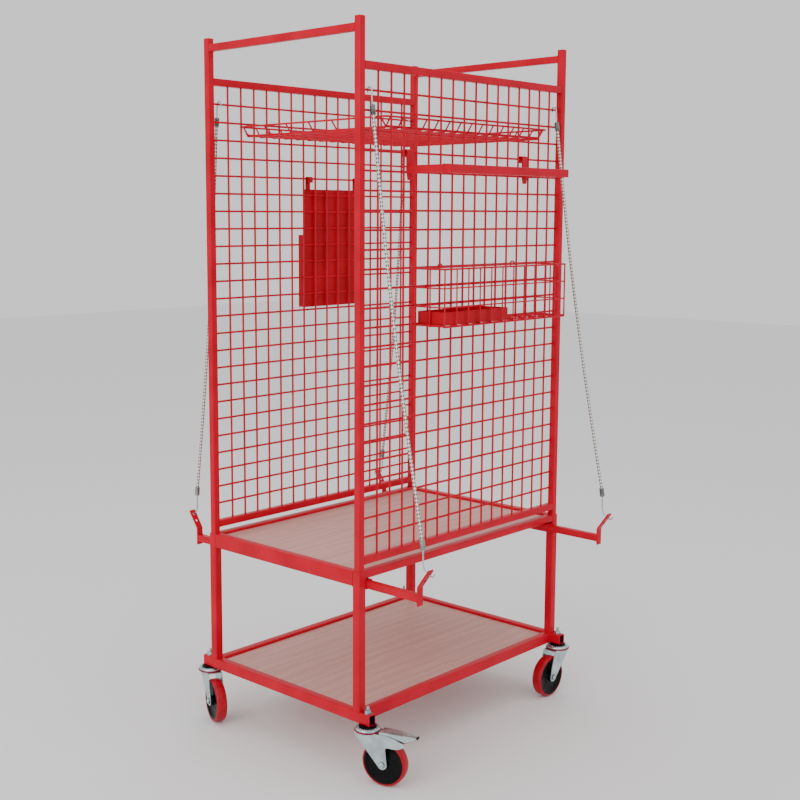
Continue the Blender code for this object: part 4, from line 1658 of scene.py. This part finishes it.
@dataclass
class Caster:
    """A swivel caster: stem, ball-raced fork, brake lever and polyurethane-tyred wheel."""

    finishes: Finishes
    spokes: Spokes
    corner: Corner
    out: float = 0.322
    trail: float = 0.052
    wheel_radius: float = 0.0625
    wheel_wide: float = 0.032
    rim_radius: float = 0.056
    cheek: float = 0.0195
    sheet: float = 0.003
    top: float = 0.1547
    low_top: float = 0.185
    pivot: tuple[float, float] = (0.062, 0.1345)

    def place(self) -> Matrix:
        """The caster's own axes: Z up the swivel axis, X along the trail."""
        spot = Matrix.Translation((self.corner.end * HALF_X, self.corner.side * self.out, 0))
        return spot @ Matrix.Rotation(math.radians(self.corner.heading), 4, "Z")

    def hexagon(
        self, form: Form, low: float, high: float, across: float, matrix: Matrix | None = None
    ) -> None:
        """Adds a nut or bolt head with its corners chamfered.

        Args:
            form: What it is added to.
            low: Its lower face.
            high: Its upper face.
            across: Size across the flats.
            matrix: Places it.
        """
        place = matrix or Matrix.Identity(4)
        full = across / math.sqrt(3)
        rings = []
        for scale, z in ((0.90, low), (1.0, low + 0.0008), (1.0, high - 0.0008), (0.90, high)):
            rings.append([place @ Vector((p.x, p.y, z)) for p in circle(full * scale, 6)])
        form.skin(rings)

    def stem(self) -> None:
        """Builds the threaded stem with its nut and washer on the cross rail."""
        form = Form()
        shank, stud, deck = 0.006, 0.0045, self.low_top
        profile = [
            (0.0, 0.1290), (0.0085, 0.1290), (0.0095, 0.1298), (0.0095, 0.1332), (shank, 0.1334),
            (shank, deck + 0.0080), (stud, deck + 0.0085),
        ]
        turns, pitch = 9, 0.00125
        for n in range(turns):
            z = deck + 0.0086 + n * pitch
            profile += [(stud, z), (stud - 0.0006, z + pitch / 2)]
        profile += [(stud - 0.0010, deck + 0.0200), (0.0, deck + 0.0200)]
        form.spin(profile, sides=24)
        washer = 0.0100
        form.spin(
            [
                (shank + 0.0002, deck + GAP), (washer, deck + GAP), (washer, deck + 0.0016),
                (shank + 0.0002, deck + 0.0016)
            ],
            sides=24,
        )
        self.hexagon(form, deck + 0.0017, deck + 0.0092, 0.0160)
        piece = form.make(f"stem_nut_{self.corner.name}", [self.finishes.zinc], self.place())
        settle(piece, "frame", "zinc_bolt", f"caster_stem_{self.corner.name}")

    def cheek_outline(self) -> list[Vector]:
        """The pressed fork cheek, along the trail and up."""
        axle = Vector((self.trail, self.wheel_radius))
        lobe = 0.0140
        points = [(-0.030, 0.1420), (-0.029, 0.1330)]
        for step in range(9):
            turn = math.radians(206 + step * (352 - 206) / 8)
            points.append((axle.x + lobe * math.cos(turn), axle.y + lobe * math.sin(turn)))
        if self.corner.braked:
            points += [
                (0.0630, 0.0900), (0.0612, 0.1040), (0.0630, 0.1090), (0.0680, 0.1108), (0.0900, 0.1110)
            ]
            points += [
                (0.1000, 0.1130), (0.1180, 0.1230), (0.1130, 0.1290), (0.0900, 0.1370), (0.0640, 0.1420)
            ]
        else:
            points += [
                (0.0600, 0.0900), (0.0500, 0.1200), (0.0480, 0.1300), (0.0440, 0.1390), (0.0360, 0.1420)
            ]
        return [Vector(p) for p in points]

    def rivets(self) -> list[tuple[float, float]]:
        """Places of the rivet heads on a cheek, along the trail and up."""
        head = [(0.0240, 0.1300)]
        return [(self.pivot[0], self.pivot[1] - 0.0100), *head] if self.corner.braked else head

    def fork(self) -> None:
        """Builds the fork: race, dust seal, head, two cheeks and the axle bolt."""
        form = Form()
        bore = 0.0064
        top = self.top
        # Painted shade: the recess on top of the head, under the cross rail, gets the black nylon material to
        # stand in for its shadow.
        recess = [
            (bore, top - 0.0060), (0.0240, top - 0.0060), (0.0240, top - 0.0008), (0.0225, top), (bore, top)
        ]
        form.spin(recess, sides=56, slot=2)
        cup = [
            (bore, 0.1405), (0.0335, 0.1405), (0.0340, 0.1440), (0.0334, 0.1475), (0.0310, 0.1502),
            (0.0290, 0.1506), (0.0275, 0.1496), (bore, 0.1490),
        ]
        form.spin(cup, sides=56)
        seal = [
            (0.0325, 0.1398), (0.0352, 0.1400), (0.0362, 0.1412), (0.0362, 0.1434), (0.0350, 0.1446),
            (0.0330, 0.1450)
        ]
        form.spin(seal, sides=56, slot=1)
        for side in (-1, 1):
            low, high = sorted((-side * self.cheek, -side * (self.cheek + self.sheet)))
            form.plate(self.cheek_outline(), low, high, QUARTER, 0.0006)
            outer = side * (self.cheek + self.sheet)
            outward = Matrix.Rotation(-side * math.pi / 2, 4, "X")
            dome = Matrix.Translation((self.trail, outer, self.wheel_radius)) @ outward
            form.spin([(0.0, -0.001), (0.0092, -0.001), (0.0092, 0.0010), (0.0, 0.0010)], dome, 28, 3)
            self.hexagon(form, 0.0008, 0.0050, 0.0136, dome)
            form.spin(
                [(0.0, 0.0), (0.0042, 0.0), (0.0040, 0.0062), (0.0028, 0.0068), (0.0, 0.0068)], dome, 20
            )
            for x, z in self.rivets():
                rivet = Matrix.Translation((x, outer, z)) @ outward
                form.spin(
                    [(0.0, -0.001), (0.0034, -0.001), (0.0034, 0.0003), (0.0024, 0.0013), (0.0, 0.0016)],
                    rivet, 16
                )
        web = [Vector(p) for p in ((-0.0285, -0.0218), (0.040, -0.0218), (0.040, 0.0218), (-0.0285, 0.0218))]
        form.plate(rounded(web, 0.006, 4, True), 0.1380, 0.1408, edge=0.0004)
        form.rod(
            [(self.trail, -0.0225, self.wheel_radius), (self.trail, 0.0225, self.wheel_radius)], 0.00494, 20
        )
        piece = form.make(
            f"fork_{self.corner.name}",
            [self.finishes.zinc, self.finishes.seal, self.finishes.nylon, self.finishes.crimp]
        )
        ball = Form()
        ball.spin(
            [(0.0, -0.0017), (0.0010, -0.0013), (0.0017, 0.0), (0.0010, 0.0013), (0.0, 0.0017)], sides=8
        )
        balls = self.spokes.set_round(ball, 26, 0.0262, self.finishes.zinc)
        piece = merge(piece.name, piece, [(balls, Matrix.Translation((0, 0, 0.1500)))])
        piece.data.transform(self.place())
        settle(piece, f"caster_{self.corner.body}", "zinc_plate", f"caster_yoke_{self.corner.name}")

    def lever(self) -> None:
        """Builds the brake's foot lever: a tapering channel on a cross pin, with a rubber-capped tip."""
        form = Form()
        pivot = Vector((self.pivot[0], 0, self.pivot[1]))
        form.rod([pivot - Vector((0, 0.0188, 0)), pivot + Vector((0, 0.0188, 0))], 0.0045, 16)
        web = [
            Vector(p) for p in ((-0.0035, -0.0175), (0.0035, -0.0175), (0.0035, 0.0175), (-0.0035, 0.0175))
        ]
        form.plate(web, 0.0, 0.0135, Matrix.Translation(pivot), 0.0004)
        top = [
            (0.0415, 0.1478), (0.0600, 0.1488), (0.0950, 0.1486), (0.1140, 0.1480), (0.1300, 0.1473),
            (0.1440, 0.1466)
        ]
        line = rounded([(x, 0, z) for x, z in top], 0.006, 2)
        broad, narrow, shoulder = 0.0182, 0.0050, 0.090
        skirt = [(0.0415, 0.0060), (0.0640, 0.0075), (0.0900, 0.0115), (0.1130, 0.0180), (0.1450, 0.0030)]
        rings = []
        for point in line:
            share = max(0.0, (point.x - shoulder) / (top[-1][0] - shoulder))
            w = broad + (narrow - broad) * share
            one, two = next(pair for pair in zip(skirt, skirt[1:]) if point.x <= pair[1][0])
            lip = one[1] + (two[1] - one[1]) * (point.x - one[0]) / (two[0] - one[0])
            section = [
                (-w, -lip), (-w, 0.0), (-w + 0.0020, 0.0012), (w - 0.0020, 0.0012), (w, 0.0), (w, -lip)
            ]
            section += [
                (w - 0.0014, -lip), (w - 0.0014, -0.0006), (-w + 0.0014, -0.0006), (-w + 0.0014, -lip)
            ]
            rings.append([Vector((point.x, y, point.z + z)) for y, z in section])
        form.skin(rings)
        for x, y in ((0.080, 0.0), (0.118, 0.0)):
            rivet = Matrix.Translation((x, y, 0.1494))
            form.spin(
                [(0.0, -0.001), (0.0036, -0.001), (0.0036, 0.0003), (0.0024, 0.0014), (0.0, 0.0017)], rivet,
                16
            )
        form.rod([(0.1450, -0.0062, 0.1458), (0.1450, 0.0062, 0.1458)], 0.0032, 16, 1)
        piece = form.make(
            f"brake_lever_{self.corner.name}", [self.finishes.zinc, self.finishes.nylon], self.place()
        )
        settle(piece, f"brake_{self.corner.body}", "zinc_plate", f"brake_pedal_{self.corner.name}")

    def wheel(self) -> None:
        """Builds the tyre and the ribbed centre."""
        half = self.wheel_wide / 2
        lie = self.place() @ Matrix.Translation((self.trail, 0, self.wheel_radius)) @ QUARTER
        tyre = Form()
        edge = self.wheel_radius
        tyre.spin(
            [
                (self.rim_radius, -half + 0.0010), (edge - 0.0055, -half + 0.0002),
                (edge - 0.0030, -half + 0.0012),
                (edge - 0.0012, -half + 0.0032), (edge, -half + 0.0070), (edge, half - 0.0070),
                (edge - 0.0012, half - 0.0032), (edge - 0.0030, half - 0.0012),
                (edge - 0.0055, half - 0.0002),
                (self.rim_radius, half - 0.0010),
            ],
            sides=96,
        )
        piece = tyre.make(f"tyre_{self.corner.name}", [self.finishes.tyre], lie)
        settle(piece, f"wheel_{self.corner.body}", "red_polyurethane", f"wheel_tread_{self.corner.name}")
        hub = Form()
        bore, rim, face = 0.0051, self.rim_radius - GAP, half - 0.0012
        hub.spin(
            [
                (bore, -half - 0.0020), (0.0125, -half - 0.0020), (0.0140, -half - 0.0008), (0.0150, -0.0105),
                (0.0170, -0.0092), (0.0450, -0.0092), (0.0482, -0.0106), (0.0500, -face + 0.0006),
                (0.0512, -face),
                (rim, -face), (rim, face), (0.0512, face), (0.0500, face - 0.0006), (0.0482, 0.0106),
                (0.0450, 0.0092), (0.0170, 0.0092), (0.0150, 0.0105), (0.0140, half + 0.0008),
                (0.0125, half + 0.0020), (bore, half + 0.0020),
            ],
            sides=72,
        )
        centre = hub.make(f"wheel_centre_{self.corner.name}", [self.finishes.nylon])
        rib = Form()
        rib.plate(
            rounded(
                [(-0.0160, -0.0013), (0.0185, -0.0013), (0.0185, 0.0013), (-0.0160, 0.0013)], 0.0009, 2,
                True
            ),
            -0.0097, 0.0097
        )
        ribs = self.spokes.set_round(rib, 8, 0.0310, self.finishes.nylon)
        centre = merge(centre.name, centre, [(ribs, Matrix.Identity(4))])
        centre.data.transform(lie)
        settle(centre, f"wheel_{self.corner.body}", "black_nylon", f"wheel_hub_{self.corner.name}")

    def build(self) -> None:
        """Builds the whole caster."""
        self.stem()
        self.fork()
        self.wheel()
        if self.corner.braked:
            self.lever()


# ---------------------------------------------------------------- hung pieces


@dataclass
class WireRack:
    """A shallow wire rack across the cage, with sloping lip wires, reaching across to both side panels."""

    finishes: Finishes
    x: tuple[float, float] = (-0.336, 0.377)
    half_y: float = 0.284
    rim: float = 1.742
    deep: float = 0.025
    inset: float = 0.018
    wire: float = 0.0025

    def build(self) -> None:
        """Builds the rack."""
        form = Form()
        x0, x1 = self.x
        y0, y1 = -self.half_y, self.half_y
        base = self.rim - self.deep
        r = self.wire
        i0, i1, j0, j1 = x0 + self.inset, x1 - self.inset, y0 + self.inset, y1 - self.inset
        for frame_x, frame_y, z, curve, thick in (
            ((x0, x1), (y0, y1), self.rim, 0.012, r * 1.1),
            ((i0, i1), (j0, j1), base, 0.010, r),
        ):
            (a, b), (c, d) = frame_x, frame_y
            loop = rounded([(a, c, 0), (b, c, 0), (b, d, 0), (a, d, 0)], curve, 5, True)
            loop.append(loop[0].copy())
            form.rod([p + Vector((0, 0, z)) for p in loop], thick, 10)
        count = 15
        for n in range(count):
            x = i0 + (i1 - i0) * n / (count - 1)
            line = [(x, y0, self.rim), (x, j0, base - r), (x, j1, base - r), (x, y1, self.rim)]
            form.rod(rounded(line, 0.008, 4), r * 0.9, 8)
        for n in range(7):
            y = j0 + (j1 - j0) * n / 6
            line = [(x0, y, self.rim), (i0, y, base + r), (i1, y, base + r), (x1, y, self.rim)]
            form.rod(rounded(line, 0.008, 4), r * 0.9, 8)
        piece = form.make("wire_rack_basket", [self.finishes.coat])
        settle(piece, "frame", "red_wire", "wire_rack")


@dataclass
class HangingBar:
    """A square-tube bracket hooked on the front panel, with a bar held out in front."""

    finishes: Finishes
    welds: WeldRing
    x: tuple[float, float] = (-0.258, 0.250)
    out: float = 0.432
    z: float = 1.608
    tube: float = 0.022
    row: float = 1.652
    arm_end: float = 0.2985
    plate_face: float = 0.2965
    plate_half: float = 0.0120
    plate_waist: float = 1.6050
    plate_foot: float = 1.5815
    hook_front: float = 0.2982
    hook_back: float = 0.2822
    weld: float = 0.3002

    def build(self) -> None:
        """Builds the bracket."""
        form = Form()
        seams = []
        left, right = self.x
        form.bar(
            (left - self.tube / 2, -self.out, self.z), (right + self.tube / 2, -self.out, self.z),
            self.tube, self.tube,
        )
        for x in self.x:
            form.bar(
                (x, -self.out + self.tube / 2 - 0.002, self.z), (x, -self.arm_end, self.z),
                self.tube, self.tube,
            )
            half, head = self.plate_half, self.row + 0.0040
            outline = [
                (-half, head), (half, head), (half, self.plate_waist),
                (0.0070, self.plate_foot), (-0.0070, self.plate_foot), (-half, self.plate_waist),
            ]
            stand = Matrix.Translation((x, -self.plate_face, 0)) @ QUARTER
            form.plate(rounded(outline[::-1], 0.003, 3, True)[::-1], 0.0, 0.0035, stand, 0.0005)
            line = [
                (x, -self.hook_front, self.row - 0.004), (x, -self.hook_front, self.row + 0.0072),
                (x, -self.hook_back, self.row + 0.0072), (x, -self.hook_back, self.row - 0.011),
            ]
            form.sweep(rounded(line, 0.005, 4), oblong(0.024, 0.0030, 0.0008, 2), (1, 0, 0))
            mesh = self.welds.run(
                {"Seam Wide": self.tube, "Seam Tall": self.tube, "Seed": 13, "Finish": self.finishes.coat}
            )
            for y in (-self.weld, -self.out + self.tube / 2):
                seams.append((mesh, Matrix.Translation((x, y, self.z)) @ QUARTER))
        piece = form.make("hanging_bracket", [self.finishes.coat])
        settle(merge(piece.name, piece, seams), "frame", "red_powder_coat", "hanging_bar")


@dataclass
class DocumentPocket:
    """A folded sheet pocket on the outer side of the back panel."""

    finishes: Finishes
    x: tuple[float, float] = (-0.068, 0.181)
    z: tuple[float, float] = (1.210, 1.570)
    deep: float = 0.026
    sheet: float = 0.0015
    mouth: float = 0.220
    hook: float = 1.608

    def build(self) -> None:
        """Builds the pocket: back sheet, U-folded front and two hooks."""
        form = Form()
        x0, x1 = self.x
        z0, z1 = self.z
        y0 = HALF_Y + 0.004
        y1 = y0 + self.deep
        stand = Matrix.Translation((0, y0 + self.sheet, 0)) @ QUARTER
        outline = rounded([(x0, z0), (x1, z0), (x1, z1), (x0, z1)], 0.004, 4, True)
        form.plate(outline, 0.0, self.sheet, stand, 0.0003)
        s = self.sheet
        fold = rounded(
            [(x0 + s / 2, y0 + s), (x0 + s / 2, y1 - s / 2), (x1 - s / 2, y1 - s / 2), (x1 - s / 2, y0 + s)],
            0.003, 4
        )
        top = z0 + self.mouth
        section = [(point, Vector((-way.y, way.x)) * s / 2) for point, way in zip(fold, headings(fold))]
        outer = [p + q for p, q in section] + [p - q for p, q in reversed(section)]
        rings = [[Vector((p.x, p.y, z)) for p in outer] for z in (z0, top)]
        form.skin(rings)
        form.plate(
            [Vector(p) for p in ((x0 + 0.001, y0), (x1 - 0.001, y0), (x1 - 0.001, y1), (x0 + 0.001, y1))],
            z0, z0 + s, None, 0.0002
        )
        form.rod([(x0 + 0.002, y1 - s / 2, top), (x1 - 0.002, y1 - s / 2, top)], 0.0015, 10)
        for start in (x0 + 0.018, x1 - 0.022):
            line = [
                (start, y0 + s / 2, z1 - 0.010), (start, y0 + s / 2, self.hook - s / 2),
                (start, HALF_Y - 0.0073, self.hook - s / 2), (start, HALF_Y - 0.0073, self.hook - 0.018),
            ]
            form.sweep(rounded(line, 0.004, 4), oblong(0.020, s, 0.0004, 2), (1, 0, 0))
        # The pocket's darker red sheet material is painted shade.
        piece = form.make("document_holder", [self.finishes.sheet])
        settle(piece, "frame", "red_powder_coat", "document_pocket")


@dataclass
class MeshBasket:
    """A basket bent from 50 mm welded mesh, hung on the outer side of the front panel, with a sheet tray."""

    finishes: Finishes
    lattice: Lattice
    x: tuple[float, float] = (-0.230, 0.320)
    z: tuple[float, float] = (1.200, 1.350)
    deep: float = 0.100
    wire: float = 0.0020
    off: float = 0.006  # from the panel's middle to the basket's back
    hook_in: float = 0.110  # from the basket's ends to its hooks
    hook_y: float = -HALF_Y + 0.0065
    tray_x: tuple[float, float] = (-0.225, 0.055)
    tray_tall: float = 0.035
    sheet: float = 0.0015

    def basket(self) -> None:
        """Builds the basket from five flat pieces of mesh, a rim wire and two hooks."""
        x0, x1 = self.x
        z0, z1 = self.z
        back = -HALF_Y - self.off
        front = back - self.deep
        wide, tall = x1 - x0, z1 - z0
        coat, r = self.finishes.coat, self.wire
        stub = 0.008
        parts = []
        face = self.lattice.panel(coat, r, (12, PITCH, x0, tall), (4, PITCH, z0, wide + stub), (x0, z0))
        for y in (front, back):
            parts.append((face, Matrix.Translation((0, y, 0))))
        floor = self.lattice.panel(coat, r, (12, PITCH, x0, self.deep), (3, PITCH, 0.0, wide), (x0, 0.0))
        parts.append((floor, Matrix.Translation((0, front, z0)) @ Matrix.Rotation(-math.pi / 2, 4, "X")))
        end = self.lattice.panel(coat, r, (3, PITCH, 0.0, tall), (4, PITCH, z0, self.deep), (0.0, z0))
        for x in (x0, x1):
            parts.append((end, Matrix.Translation((x, front, 0)) @ Matrix.Rotation(math.pi / 2, 4, "Z")))
        form = Form()
        loop = [(x0, front, z1), (x1, front, z1), (x1, back, z1), (x0, back, z1), (x0, front, z1)]
        for a, b in zip(loop, loop[1:]):
            form.rod([a, b], r * 1.25, 10)
        for x in (x0 + self.hook_in, x1 - self.hook_in):
            line = [
                (x, back, z1), (x, back, z1 + 0.0085),
                (x, self.hook_y, z1 + 0.0085), (x, self.hook_y, z1 - 0.007),
            ]
            form.rod(rounded(line, 0.005, 4), r, 10)
        piece = merge("hung_basket", form.make("hung_basket", [coat]), parts)
        work = bmesh.new()
        work.from_mesh(piece.data)
        bmesh.ops.recalc_face_normals(work, faces=work.faces)
        work.to_mesh(piece.data)
        work.free()
        settle(piece, "frame", "red_wire", "mesh_basket")

    def tray(self) -> None:
        """Builds the open sheet tray on the basket's floor."""
        x0, x1 = self.tray_x
        y0, y1 = -HALF_Y - self.off - self.deep + 0.004, -HALF_Y - 0.010
        low = self.z[0] + 0.0023
        high = low + self.tray_tall
        s = self.sheet
        form = Form()

        def ring(inset: float, z: float) -> list[Vector]:
            wide, deep = x1 - x0 - 2 * inset, y1 - y0 - 2 * inset
            middle = Vector(((x0 + x1) / 2, (y0 + y1) / 2))
            return [Vector((middle.x + p.x, middle.y + p.y, z)) for p in oblong(wide, deep, 0.004 - inset, 4)]

        form.skin(
            [
                ring(0.0012, low), ring(0.0, low + 0.0012), ring(0.0, high - 0.0003), ring(0.0004, high),
                ring(s - 0.0004, high), ring(s, high - 0.0004), ring(s, low + s)
            ]
        )
        # The tray's darker red sheet material is painted shade.
        settle(
            form.make("small_parts_tray", [self.finishes.sheet, self.finishes.coat]), "frame",
            "red_powder_coat", "basket_tray"
        )

    def build(self) -> None:
        """Builds the basket and its tray."""
        self.basket()
        self.tray()


# ---------------------------------------------------------------- whole


def main() -> None:
    """Builds the trolley, piece by piece, with its camera, lights and floor."""
    logging.basicConfig(level=logging.INFO, format="%(name)s: %(message)s")
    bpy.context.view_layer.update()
    finishes = Finishes()
    studio = Studio()
    studio.camera()
    for corner in Corner:
        CordSet(finishes, corner).build()
    lattice, welds, spokes = Lattice(), WeldRing(), Spokes()
    SteelFrame(finishes, welds).build()
    Deck(finishes, "deck_lower", 0.1767).build()
    Deck(finishes, "deck_upper", 0.557).build()
    for word, side in (("front", -1), ("back", 1)):
        SidePanel(finishes, lattice, word, side).build()
    for corner in Corner:
        PullOutArm(finishes, welds, corner).build()
        Caster(finishes, spokes, corner).build()
    WireRack(finishes).build()
    HangingBar(finishes, welds).build()
    DocumentPocket(finishes).build()
    MeshBasket(finishes, lattice).build()
    studio.lights()
    studio.floor(finishes.floor)


if __name__ == "__main__":
    main()
